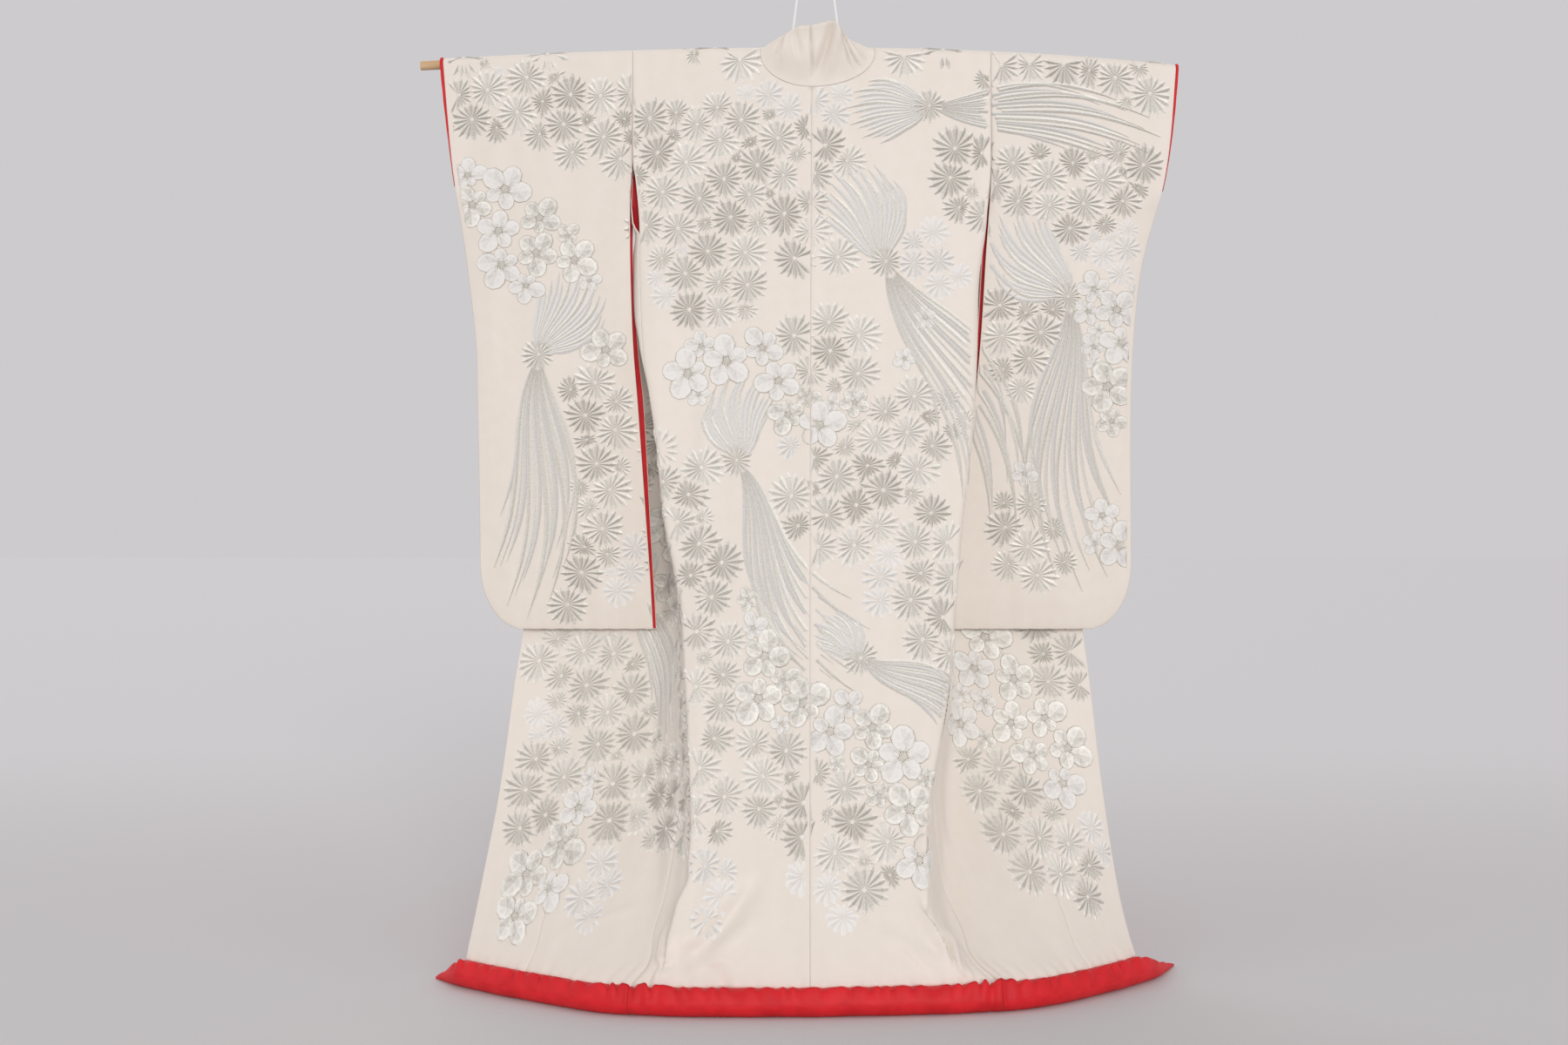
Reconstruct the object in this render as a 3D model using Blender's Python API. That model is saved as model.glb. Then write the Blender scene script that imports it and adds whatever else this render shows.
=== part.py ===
"""Uchikake (a wedding kimono with a padded hem) hung by its sleeves on a wooden pole.

Metres, +Z up. The origin is the top of the hanging cord's loop. The garment's back faces -Y, +X is to the
right of someone who looks at the back, and the wall would be on the +Y side. Heights in the tables are
measured from the floor that the padded hem rests on, depths run forward from the pole, towards -Y, and
places along the pole are measured from the centre of the neck, which hangs a little left of the loop.
"""

import math

import bmesh
import bpy
import numpy as np

# Overall sizes: the loop's height over the floor and its place to the right of the neck's centre
LOOP_HEIGHT = 1.936
LOOP_OUT = 0.007
WALL = 0.0024
SEAM_GAP = 0.0003

# Pole: a tapered-off stick that bows a little under the garment
POLE_RADIUS = 0.0085
POLE_LEFT = -0.718
POLE_RIGHT = 0.655
POLE_HEIGHT = 1.6563
POLE_BOW = 0.058
POLE_TILT = 0.0207
OVER_POLE = POLE_RADIUS + 2 * SEAM_GAP + WALL / 2

# Cloth widths
SHOULDER_HALF = 0.328
FRONT_WIDTH = 0.228
OKUMI_WIDTH = 0.155
COLLAR_WIDTH = 0.060
COLLAR_END_HEIGHT = 0.85
OKUMI_TIP_HEIGHT = 1.43
ARMHOLE_HEIGHT = 1.46
SIDE_SEAM_HEIGHT = 1.32
SIDE_SEAM_HALF = 0.316
HIP_HEIGHT = 0.95
HIP_HALF = 0.300
NECK_DEPTH = 0.0637
NECK_HALF = {"left": 0.094, "right": 0.115}
# The collar's free edge is drawn in this much where it passes the cord's ties, behind the pole.
COLLAR_DRAWN_IN = {"left": 0.0150, "right": 0.0050}

# Hem roll
ROLL_HEIGHT = 0.045
ROLL_DEPTH = 0.052
HEM_HEIGHT = ROLL_HEIGHT + SEAM_GAP
TIP_SIZE = 0.004
ROLL_SPLIT = 0.2985
GATHER_PLACE = 0.285
GATHER_REACH = 0.04
GATHER_STEP = 0.028
GATHER_PUFF = 0.10

SIDES = {"left": -1.0, "right": 1.0}

# Plan of the hem on the floor, from the centre back seam outwards: distance out and depth.
HEM_PLAN = {
    "left": {
        "out": (0.0, 0.245, 0.355, 0.408, 0.509, 0.597, 0.657),
        "depth": (0.430, 0.425, 0.400, 0.367, 0.300, 0.232, 0.180),
    },
    "right": {
        "out": (0.0, 0.260, 0.360, 0.485, 0.560, 0.590, 0.647),
        "depth": (0.430, 0.403, 0.372, 0.277, 0.205, 0.175, 0.083),
    },
}

# Level sections of the hanging body. At each height, the back runs out to its edge (a fold from 1.0 down),
# turns behind it as far as the turn, and comes out again as the opened front panel. The wrap is how much
# further out the far corner of the edge lies than its near one.
SECTIONS = {
    "left": {
        "height": (1.700, 1.620, 1.460, 1.320, 1.110, 0.950, 0.800, 0.640, 0.500, 0.300, 0.150, 0.080, 0.045),
        "edge": (0.328, 0.328, 0.328, 0.316, 0.306, 0.293, 0.266, 0.231, 0.220, 0.203, 0.214, 0.236, 0.256),
        "wrap": (0.000, 0.000, 0.000, -0.002, -0.006, -0.012, -0.004, 0.012, 0.022, 0.026, 0.022, 0.014, 0.010),
        "turn": (0.010, 0.036, 0.138, 0.162, 0.190, 0.214, 0.240, 0.266, 0.286, 0.276, 0.266, 0.270, 0.278),
        "forward": (0.000, 0.000, 0.000, 0.000, 0.000, 0.000, 0.000, 0.010, 0.120, 0.370, 0.685, 0.885, 1.000),
        "front": (0.529, 0.529, 0.529, 0.529, 0.529, 0.529, 0.529, 0.529, 0.544, 0.563, 0.583, 0.592, 0.597),
    },
    "right": {
        "height": (1.700, 1.620, 1.460, 1.320, 1.110, 0.950, 0.800, 0.640, 0.500, 0.300, 0.150, 0.080, 0.045),
        "edge": (0.328, 0.328, 0.328, 0.316, 0.305, 0.287, 0.267, 0.251, 0.235, 0.193, 0.190, 0.224, 0.262),
        "wrap": (0.000, 0.000, 0.000, -0.004, -0.008, -0.012, -0.006, -0.004, 0.000, 0.012, 0.018, 0.014, 0.010),
        "turn": (0.024, 0.054, 0.146, 0.164, 0.190, 0.206, 0.224, 0.250, 0.258, 0.232, 0.222, 0.248, 0.284),
        "forward": (0.000, 0.000, 0.000, 0.000, 0.000, 0.000, 0.000, 0.010, 0.120, 0.345, 0.660, 0.870, 1.000),
        "front": (0.498, 0.498, 0.498, 0.498, 0.498, 0.498, 0.498, 0.498, 0.509, 0.524, 0.537, 0.548, 0.557),
    },
}
# The centre back seam drifts this far to the left by the floor.
CENTRE_DRIFT = 0.009
REAR_DEPTH = -0.027

# Sleeves: where the inner (open) edge and the outer edge hang at each height.
SLEEVES = {
    "left": {
        "height": (1.700, 1.459, 1.275, 1.115, 0.731, 0.600),
        "inner": (0.3280, 0.3280, 0.3200, 0.3130, 0.2960, 0.2910),
        "outer": (0.6790, 0.6580, 0.6318, 0.6150, 0.6080, 0.6080),
        "overhang": (0.0000, 0.0000, 0.0050, 0.0070, 0.0110, 0.0120),
    },
    "right": {
        "height": (1.700, 1.459, 1.275, 1.115, 0.731, 0.600),
        "inner": (0.3280, 0.3280, 0.3180, 0.3080, 0.2770, 0.2710),
        "outer": (0.6700, 0.6480, 0.6050, 0.5890, 0.5860, 0.5860),
        "overhang": (0.0000, 0.0000, 0.0045, 0.0050, 0.0070, 0.0060),
    },
}
SLEEVE_BOTTOM = 0.600
SLEEVE_CORNER_WIDTH = 0.080
SLEEVE_CORNER_HEIGHT = 0.120
CUFF_END_HEIGHT = 1.428
CUFF_EDGE_WIDTH = 0.0085
CUFF_FOOT_WIDTH = 0.0020
CUFF_EDGE_DEPTH = 0.0038

# Free top edge of the collar, from the middle of the nape round to the far side of the pole.
COLLAR_CREST = {
    "left": {
        "place": (0.00, 0.16, 0.30, 0.42, 0.52, 0.66, 0.80, 1.00),
        "out": (0.000, 0.028, 0.050, 0.066, 0.078, 0.074, 0.062, 0.0485),
        "depth": (0.026, 0.027, 0.024, 0.019, 0.013, 0.003, -0.006, -0.0108),
        "height": (1.7030, 1.6980, 1.6860, 1.6780, 1.6710, 1.6710, 1.6680, 1.6560),
    },
    "right": {
        "place": (0.00, 0.15, 0.22, 0.30, 0.42, 0.52, 0.66, 0.80, 1.00),
        "out": (0.000, 0.040, 0.051, 0.066, 0.081, 0.088, 0.086, 0.074, 0.0600),
        "depth": (0.026, 0.027, 0.026, 0.023, 0.018, 0.012, 0.002, -0.006, -0.0108),
        "height": (1.7030, 1.7090, 1.6990, 1.6800, 1.6720, 1.6700, 1.6710, 1.6680, 1.6560),
    },
}

# Hanging cord
CORD_DIAMETER = 0.005
CORD_FEET = {"left": -0.038, "right": 0.052}
CORD_BEND = 0.013
WRAP_WIDTH = 0.0105

IVORY = (0.80, 0.74, 0.66)
RED = (0.70, 0.03, 0.04)
WOOD = (0.62, 0.42, 0.24)
CORD_WHITE = (0.86, 0.86, 0.84)


# ---------------------------------------------------------------- helpers


def smooth_row(table, column, at):
    """The column's value at any place in the table's first column, on a smooth curve through its rows."""
    keys = list(table)
    xs, ys = np.array(table[keys[0]]), np.array(table[column])
    if xs[0] > xs[-1]:
        xs, ys = xs[::-1], ys[::-1]
    at = np.clip(np.asarray(at, float), xs[0], xs[-1])
    step = np.diff(ys) / np.diff(xs)
    slope = np.concatenate([[step[0]], (step[1:] + step[:-1]) / 2, [step[-1]]])
    flat = np.concatenate([[False], step[1:] * step[:-1] <= 0, [False]])
    slope[flat] = 0
    i = np.clip(np.searchsorted(xs, at, side="right") - 1, 0, len(xs) - 2)
    width = xs[i + 1] - xs[i]
    t = (at - xs[i]) / width
    return (
        ys[i] * (1 + 2 * t) * (1 - t) ** 2
        + ys[i + 1] * t * t * (3 - 2 * t)
        + width * (slope[i] * t * (1 - t) ** 2 - slope[i + 1] * t * t * (1 - t))
    )


def ease(value, start, end):
    """0 before start, 1 after end and a soft rise between."""
    t = np.clip((np.asarray(value, float) - start) / (end - start), 0, 1)
    return t * t * (3 - 2 * t)


def material(name, colour, roughness, metallic=0.0):
    made = bpy.data.materials.new(name)
    made.use_nodes = True
    shader = made.node_tree.nodes["Principled BSDF"]
    shader.inputs["Base Color"].default_value = (*colour, 1)
    shader.inputs["Roughness"].default_value = roughness
    shader.inputs["Metallic"].default_value = metallic
    return made


def to_frame(out, depth, height):
    """Points in the row frame from the place along the pole, the depth forward and the height over the floor."""
    out, depth, height = np.broadcast_arrays(out, depth, height)
    return np.stack([out - LOOP_OUT, -depth, height - LOOP_HEIGHT], axis=-1)


def normals_of(surface, u, v, step=1e-4):
    """Unit normals of surface(u, v), by differences."""
    along = surface(u + step, v) - surface(u - step, v)
    down = surface(u, v + step) - surface(u, v - step)
    normal = np.cross(along, down)
    return normal / np.linalg.norm(normal, axis=-1, keepdims=True)


def add_object(name, points, faces, look):
    mesh = bpy.data.meshes.new(name)
    mesh.from_pydata([tuple(map(float, p)) for p in points], [], faces)
    shape = bmesh.new()
    shape.from_mesh(mesh)
    bmesh.ops.recalc_face_normals(shape, faces=shape.faces)
    if shape.calc_volume(signed=True) < 0:
        bmesh.ops.reverse_faces(shape, faces=shape.faces)
    shape.to_mesh(mesh)
    shape.free()
    mesh.materials.append(look)
    mesh.shade_smooth()
    mesh.set_sharp_from_angle(angle=math.radians(40))
    made = bpy.data.objects.new(name, mesh)
    bpy.context.scene.collection.objects.link(made)
    return made


RIM_UP = np.array((0.05, 0.03, 1.0))
RIM_NEAR = np.array((0.31, -0.83, 0.46))


def cloth_wall(name, surface, u, v, look, level_foot=False):
    """A closed wall of even thickness on surface(u, v), where u and v are grids of the same shape."""
    middle = surface(u, v)
    offset = normals_of(surface, u, v)
    if level_foot:
        offset[-1, :, 2] = 0
        offset[-1] /= np.linalg.norm(offset[-1], axis=-1, keepdims=True)
    offset *= WALL / 2
    rows, columns = u.shape
    points = np.concatenate([(middle + offset).reshape(-1, 3), (middle - offset).reshape(-1, 3)])
    count = rows * columns
    faces = []
    for j in range(rows - 1):
        for i in range(columns - 1):
            a = j * columns + i
            faces.append((a, a + 1, a + columns + 1, a + columns))
            faces.append((count + a, count + a + columns, count + a + columns + 1, count + a + 1))
    rim = [j * columns for j in range(rows)]
    rim += [(rows - 1) * columns + i for i in range(1, columns)]
    rim += [j * columns + columns - 1 for j in range(rows - 2, -1, -1)]
    rim += list(range(columns - 2, 0, -1))
    # Each rim quad is split from its highest corner on the near side. The rims on the two sides of a seam
    # are then split alike, and run parallel where the seam twists.
    height, nearness = points @ RIM_UP, points @ RIM_NEAR
    for a, b in zip(rim, rim[1:] + rim[:1]):
        quad = (a, b, count + b, count + a)
        top = a if height[a] > height[b] else b
        first = quad.index(top if nearness[top] > nearness[count + top] else count + top)
        faces.append(quad[first:] + quad[:first])
    return add_object(name, points, faces, look)


def swept(name, rings, look, closed=False):
    """A solid through rings of points, capped at both ends unless it is closed on itself."""
    count, sides = len(rings), len(rings[0])
    points = np.concatenate(rings)
    faces = []
    for j in range(count if closed else count - 1):
        k = (j + 1) % count
        for i in range(sides):
            n = (i + 1) % sides
            faces.append((j * sides + i, j * sides + n, k * sides + n, k * sides + i))
    if not closed:
        faces.append(tuple(range(sides)))
        faces.append(tuple((count - 1) * sides + i for i in reversed(range(sides))))
    return add_object(name, points, faces, look)


# ---------------------------------------------------------------- the hanging form


def pole_axis(x):
    return POLE_HEIGHT - POLE_BOW * x**2 - POLE_TILT * x**3


def hang_height(x, level):
    """The true height of a point whose level is given at the middle: the top follows the bowed pole."""
    return level - (POLE_HEIGHT - pole_axis(x)) * ease(level, 0.9, 1.6)


def hem_depth(side, out):
    return smooth_row(HEM_PLAN[side], "depth", out)


def back_depth(level):
    """How far forward of the pole the centre back hangs: steep at the top and flaring to the floor."""
    t = np.clip((POLE_HEIGHT - level) / (POLE_HEIGHT - ROLL_HEIGHT), 0, 1)
    return OVER_POLE + (0.430 - OVER_POLE) * (0.13 * t + 0.87 * t**2.2)


def front_depth(side, out, level):
    """Depth of the opened front panel: behind the sleeves, then forward to its place on the hem."""
    forward = smooth_row(SECTIONS[side], "forward", level)
    return REAR_DEPTH + (hem_depth(side, np.abs(out)) - REAR_DEPTH) * forward


def corner_run(corners, radius, s):
    """Points at distance s along lines through the corners, with each corner rounded over the radius."""
    total = 0.0
    samples, weights = np.linspace(-1, 1, 9), np.array([0.4, 0.8, 1, 1.1, 1.2, 1.1, 1, 0.8, 0.4])
    for sample, weight in zip(samples, weights / weights.sum()):
        at = s + sample * radius
        point = corners[0]
        start = np.zeros_like(s)
        for n, (first, second) in enumerate(zip(corners, corners[1:])):
            leg = second - first
            length = np.linalg.norm(leg, axis=-1)
            last = n == len(corners) - 2
            run = np.clip(at - start, None if n == 0 else 0, None if last else length)
            point = point + leg * (run / length)[..., None]
            start = start + length
        total = total + weight * point
    return total


def section_corners(side, level):
    """Corners of the level section of one half, in distance out and depth, from the centre back outwards."""
    table = SECTIONS[side]
    edge = smooth_row(table, "edge", level)
    far_edge = edge + smooth_row(table, "wrap", level)
    turn = smooth_row(table, "turn", level)
    low = ease(level, 0.75, 0.45)
    hem = ease(level, 0.16, HEM_HEIGHT)
    centre_depth = back_depth(level)
    top_sag = 0.35 * (centre_depth - OVER_POLE) * ease(level, 1.0, 1.5)
    hem_share = (centre_depth - OVER_POLE) / (hem_depth(side, 0.0) - OVER_POLE)
    edge_depth = centre_depth - top_sag - (hem_depth(side, 0.0) - hem_depth(side, edge)) * hem_share
    rear = front_depth(side, turn, level)
    far_depth = np.maximum(-OVER_POLE * (1 - low) + (0.45 * edge_depth + 0.55 * rear) * low, rear + 0.0165)
    far_depth = far_depth + (hem_depth(side, far_edge) - far_depth) * hem
    near_turn = rear + (0.016 - 0.012 * low) * (1 - hem)
    ways = [
        (0.0 * edge, centre_depth),
        (edge, edge_depth),
        (far_edge, far_depth),
        (turn, near_turn),
        (turn + 0.0005 + 0.004 * low, rear),
    ]
    ways += [(turn + reach, front_depth(side, turn + reach, level)) for reach in (0.10, 0.18, 0.26, 0.34)]
    return [np.stack(np.broadcast_arrays(out, depth), axis=-1) for out, depth in ways]


def corner_place(corners, number):
    """Distance along the section at which a corner lies."""
    legs = [np.linalg.norm(b - a, axis=-1) for a, b in zip(corners[:number], corners[1 : number + 1])]
    return sum(legs)


def front_stretch(side, level):
    """How much the hang and the gathers spread or narrow the front panels, below the sleeves."""
    corners = section_corners(side, level)
    target = smooth_row(SECTIONS[side], "front", level)
    reach = corner_place(corners, 4)
    for inner, outer in zip(corners[4:], corners[5:]):
        share = (target - inner[..., 0]) / (outer[..., 0] - inner[..., 0])
        share = np.clip(share, 0, None if outer is corners[-1] else 1)
        reach = reach + share * np.linalg.norm(outer - inner, axis=-1)
    start = back_width(side, level)
    stretch = (reach - start) / (FRONT_WIDTH + OKUMI_WIDTH)
    return 1 + (stretch - 1) * ease(level, 0.85, 0.62)


def body_section(side, level, s):
    """x and depth at distance s from the centre back seam, along the level section of one half."""
    low = ease(level, 0.75, 0.45)
    at_edge = (0.003 + 0.009 * ease(level, 1.46, 1.2)) * ease(level, 1.52, 1.44)
    at_turn = 0.011 * ease(level, POLE_HEIGHT, 1.62)
    radius = np.where(s < 0.44, at_edge, at_turn) + 0.010 * low - 0.008 * ease(level, 0.16, HEM_HEIGHT)
    past = np.maximum(s - back_width(side, level), 0)
    place = s + past * (front_stretch(side, level) - 1)
    run = corner_run(section_corners(side, level), radius, place)
    drift = CENTRE_DRIFT * np.clip((POLE_HEIGHT - level) / POLE_HEIGHT, 0, 1)
    x = SIDES[side] * run[..., 0]
    return x - drift * ease(run[..., 0], 0.18, 0.0), run[..., 1]


def back_width(side, level):
    """Distance from the centre back seam to the side seam, or to the free edge above it."""
    edge = smooth_row(SECTIONS[side], "edge", level)
    narrowing = (SIDE_SEAM_HALF - HIP_HALF) * ease(level, SIDE_SEAM_HEIGHT, HIP_HEIGHT)
    return np.where(level >= SIDE_SEAM_HEIGHT, edge, SIDE_SEAM_HALF - narrowing)


def front_start(side, level):
    """Where the front half begins along the section: it parts from the back over the side opening."""
    opening = corner_place(section_corners(side, level), 2) - back_width(side, level)
    return back_width(side, level) + np.maximum(opening * ease(level, SIDE_SEAM_HEIGHT, ARMHOLE_HEIGHT), SEAM_GAP)


def okumi_width(level):
    """The overlap panel widens from its tip, beside the collar, to its full width."""
    share = np.clip((OKUMI_TIP_HEIGHT - level) / (OKUMI_TIP_HEIGHT - COLLAR_END_HEIGHT), 0, 1)
    return OKUMI_WIDTH * share


def front_width(side, level):
    neck = SHOULDER_HALF - NECK_HALF[side]
    return neck + (FRONT_WIDTH - neck) * ease(level, 1.6, 1.3)


def hem_trough(side, x, level):
    """Soft slanting trough over the hem, from the foot of the side fold towards the centre."""
    if side == "right":
        return 0.0 * x
    along = (-0.215 - x) * 0.76 + (0.10 - level) * -0.65
    across = (-0.215 - x) * 0.65 + (0.10 - level) * 0.76
    run = ease(along, -0.16, -0.04) * ease(along, 0.02, -0.02)
    return -0.010 * run * np.exp(-((across / 0.022) ** 2))


def body_surface(side):
    """Point of one half of the body at distance s along its section, at a level."""

    def surface(s, level):
        x, depth = body_section(side, level, s)
        depth = depth + hem_trough(side, x, level)
        return to_frame(x, depth, hang_height(x, level))

    return surface


def over_pole_surface(side, first, last):
    """The body surface, with the levels above the pole's axis laid over the pole between two angles."""
    hanging = body_surface(side)

    def surface(s, level):
        below = hanging(s, np.minimum(level, POLE_HEIGHT))
        turn = np.clip((level - POLE_HEIGHT) / (OVER_POLE * math.pi / 2), 0, 1)
        angle = math.radians(first) + math.radians(last - first) * turn
        x = below[..., 0] + LOOP_OUT
        lap = to_frame(x, OVER_POLE * np.cos(angle), pole_axis(x) + OVER_POLE * np.sin(angle))
        return np.where((level > POLE_HEIGHT)[..., None], lap, below)

    return surface


def neck_half(side, level):
    """Half width of the neck opening in the back, an arc that dips below the pole."""
    drop = np.clip((POLE_HEIGHT - level) / NECK_DEPTH, 0, 1)
    return NECK_HALF[side] * np.sqrt(1 - drop**2)


# ---------------------------------------------------------------- cloth pieces


def spread(starts, ends, shares):
    """A grid whose rows run from starts to ends, at the shares between 0 and 1."""
    starts, ends, shares = np.asarray(starts), np.asarray(ends), np.asarray(shares)
    return starts[:, None] + (ends - starts)[:, None] * shares[None, :]


def spread_round_fold(starts, ends, fold, reach, before, after, closest=0.0028):
    """Rows from starts to ends, with five columns that follow a fold as it wanders from row to row."""
    order = np.arange(1, 6)
    columns = fold[:, None] + reach * (order - 3) / 2
    columns = np.clip(columns, starts[:, None] + closest * order, ends[:, None] - closest * (6 - order))
    first = spread(starts, columns[:, 0], np.linspace(0, 1, before))
    last = spread(columns[:, -1], ends, np.linspace(0, 1, after))
    return np.concatenate([first, columns[:, 1:-1], last], axis=1)


def fold_place(side, levels, number):
    """Distance along the cloth of a fold, which is midway between two corners of the section."""
    corners = section_corners(side, levels)
    place = (corner_place(corners, number) + corner_place(corners, number + 1)) / 2
    start = back_width(side, levels)
    return start + (place - start) / front_stretch(side, levels)


# Places of the rows of points round half the nape, shared by the back and the collar, in degrees.
NECK_ANGLES = (0, 13, 26, 40, 54, 72)
# Angles of the rows over the pole, and levels of those down the fronts, shared with the collar beside them.
POLE_ANGLES = (90, 60, 30, 0)
UPPER_LEVELS = (1.635, 1.61, 1.585, 1.565, 1.545, 1.53, 1.515, 1.50, 1.485, 1.46)
OKUMI_LEVELS = (OKUMI_TIP_HEIGHT - 0.01, 1.37, 1.32, 1.22, 1.11, 1.0, 0.92, COLLAR_END_HEIGHT)
COLLAR_LEVELS = UPPER_LEVELS + OKUMI_LEVELS
LOWER_LEVELS = (0.78, 0.71, 0.63, 0.55, 0.46, 0.37, 0.29, 0.21, 0.15, 0.11, 0.08, HEM_HEIGHT)


def make_back(side, look):
    top = POLE_HEIGHT + OVER_POLE * np.radians(POLE_ANGLES)
    neck = POLE_HEIGHT - NECK_DEPTH * np.cos(np.radians(NECK_ANGLES[::-1]))
    levels = np.concatenate([top, neck, UPPER_LEVELS[5:], OKUMI_LEVELS, LOWER_LEVELS])
    starts = neck_half(side, levels)
    starts[levels <= neck[-1]] = SEAM_GAP / 2
    inset = np.where(levels >= SIDE_SEAM_HEIGHT, SEAM_GAP / 2, 0)
    edge = corner_place(section_corners(side, levels), 1)
    s = spread_round_fold(starts, back_width(side, levels) - inset, edge, 0.014, 6, 4)
    surface = over_pole_surface(side, 0, 90)
    cloth_wall(f"back_{side}", surface, s, levels[:, None] + 0 * s, look, level_foot=True)


def make_front(side, look):
    top = POLE_HEIGHT + OVER_POLE * np.radians(POLE_ANGLES)
    levels = np.concatenate([top, COLLAR_LEVELS, LOWER_LEVELS])
    starts = front_start(side, levels) + np.where(levels >= SIDE_SEAM_HEIGHT, SEAM_GAP / 2, 0)
    ends = front_start(side, levels) + front_width(side, levels) - SEAM_GAP / 2
    s = spread_round_fold(starts, ends, fold_place(side, levels, 3), 0.018, 5, 5)
    surface = over_pole_surface(side, 180, 90)
    # The shoulder edges of back and front stay a seam gap apart on top of the pole.
    level = levels[:, None] + 0 * s
    level[0] -= SEAM_GAP
    cloth_wall(f"front_{side}", surface, s, level, look, level_foot=True)


def make_okumi(side, look):
    levels = np.concatenate([OKUMI_LEVELS, LOWER_LEVELS])
    starts = front_start(side, levels) + front_width(side, levels) + SEAM_GAP / 2
    s = spread(starts, starts + okumi_width(levels) - SEAM_GAP, np.linspace(0, 1, 6))
    cloth_wall(f"okumi_{side}", body_surface(side), s, levels[:, None] + 0 * s, look, level_foot=True)


def collar_half(side):
    """Points of half the collar: run 0 to 1 round the nape, 1 to 2 over the pole and 2 to 3 down the front."""
    sign, half, crest = SIDES[side], NECK_HALF[side], COLLAR_CREST[side]
    hanging = over_pole_surface(side, 180, 90)
    back = over_pole_surface(side, 0, 90)

    def surface(width, run):
        angle = np.clip(run, 0, 1) * math.pi / 2
        level = POLE_HEIGHT - (NECK_DEPTH - SEAM_GAP) * np.cos(angle)
        nape = back((half - SEAM_GAP) * np.sin(angle), level)
        lap_angle = np.clip(run - 1, 0, 1) * math.pi
        x = sign * (half - SEAM_GAP) + 0 * run
        lap = to_frame(x, OVER_POLE * np.cos(lap_angle), pole_axis(x) + OVER_POLE * np.sin(lap_angle))
        seam = np.where((run <= 1)[..., None], nape, lap)
        place = np.clip(run, 0, 2) / 2
        free = to_frame(
            sign * smooth_row(crest, "out", place),
            smooth_row(crest, "depth", place),
            smooth_row(crest, "height", place),
        )
        rising = np.stack(np.broadcast_arrays(0.0, -np.cos(lap_angle), np.sin(lap_angle)), axis=-1)
        lift = ((free - seam) * rising).sum(axis=-1)
        upper = seam + (free - seam) * width[..., None] + rising * (lift * (width**2 - width))[..., None]
        crease = 0.003 * np.sin(run * 7.0) * width**2 * ease(run, 1.0, 0.5) * ease(run, 0.0, 0.2)
        upper[..., 1] -= crease + 0.005 * np.sin(width * math.pi) ** 2 * ease(run, 1.0, 0.4)
        fall = np.clip(run - 2, 0, 1)
        drop_level = POLE_HEIGHT - (POLE_HEIGHT - COLLAR_END_HEIGHT) * fall
        edge = front_start(side, drop_level) + front_width(side, drop_level) + okumi_width(drop_level)
        strip = COLLAR_WIDTH - COLLAR_DRAWN_IN[side] * ease(fall, 0.05, 0.0)
        lower = hanging(edge + SEAM_GAP / 2 + strip * width, drop_level)
        share = ease(fall, 0.0, 0.05)[..., None]
        hung = upper * (1 - share) + lower * share
        return np.where((run < 2)[..., None], upper, hung)

    return surface


def make_collar(look):
    left, right = collar_half("left"), collar_half("right")

    def surface(width, run):
        return np.where((run < 0)[..., None], left(width, -run), right(width, run))

    nape = np.array(NECK_ANGLES[1:]) / 90
    lap = np.linspace(1, 2, 7)
    fall = 2 + (POLE_HEIGHT - np.array(COLLAR_LEVELS)) / (POLE_HEIGHT - COLLAR_END_HEIGHT)
    half = np.concatenate([nape, lap, fall])
    runs = np.concatenate([-half[::-1], [0.0], half])
    places = []
    for run in runs:
        side = "left" if run < 0 else "right"
        level = POLE_HEIGHT - (POLE_HEIGHT - COLLAR_END_HEIGHT) * max(abs(run) - 2, 0.0)
        edge = front_start(side, level) + front_width(side, level) + okumi_width(level)
        places.append((fold_place(side, np.array(level), 3) - edge) / COLLAR_WIDTH if abs(run) > 2 else 0.5)
    fold = np.array(places)
    width = spread_round_fold(0 * fold, 0 * fold + 1, fold, 0.2, 2, 2, closest=0.02)
    cloth_wall("collar", surface, width, runs[:, None] + 0 * width, look)


def sleeve_outline(side, level, layer):
    """Inner and outer ends of one sleeve layer at a height; the front layer reaches a little further in."""
    table = SLEEVES[side]
    inner = smooth_row(table, "inner", level)
    if layer == "front":
        inner = inner - smooth_row(table, "overhang", level)
    corner = np.clip((SLEEVE_BOTTOM + SLEEVE_CORNER_HEIGHT - level) / SLEEVE_CORNER_HEIGHT, 0, 1)
    outer = smooth_row(table, "outer", level) - SLEEVE_CORNER_WIDTH * (1 - np.sqrt(1 - corner**2))
    return inner + SEAM_GAP / 2, outer


def sleeve_surface(side, layer):
    facing = 1.0 if layer == "back" else -1.0

    def surface(share, level):
        inner, outer = sleeve_outline(side, np.minimum(level, POLE_HEIGHT), layer)
        out = inner + (outer - inner) * share
        x = SIDES[side] * out
        to_seam = np.minimum(
            np.where(level < CUFF_END_HEIGHT, outer - out, 1.0), np.maximum(level - SLEEVE_BOTTOM, 0)
        )
        open_cuff = ease(level, CUFF_END_HEIGHT - 0.06, CUFF_END_HEIGHT)
        closing = np.sqrt(np.clip(to_seam / 0.05, 0, 1))
        closing = closing + (1 - closing) * open_cuff * np.where(level > SLEEVE_BOTTOM + 0.2, 1, 0)
        belly = 0.0062 + (OVER_POLE - 0.0062) * ease(level, 1.15, POLE_HEIGHT)
        seam = WALL / 2 + SEAM_GAP / 2
        depth = facing * (seam + (belly - seam) * closing)
        below = to_frame(x, depth, hang_height(x, np.minimum(level, POLE_HEIGHT)))
        turn = np.clip((level - POLE_HEIGHT) / OVER_POLE, 0, math.pi / 2)
        lap = to_frame(x, facing * OVER_POLE * np.cos(turn), pole_axis(x) + OVER_POLE * np.sin(turn))
        return np.where((level > POLE_HEIGHT)[..., None], lap, below)

    return surface


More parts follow.
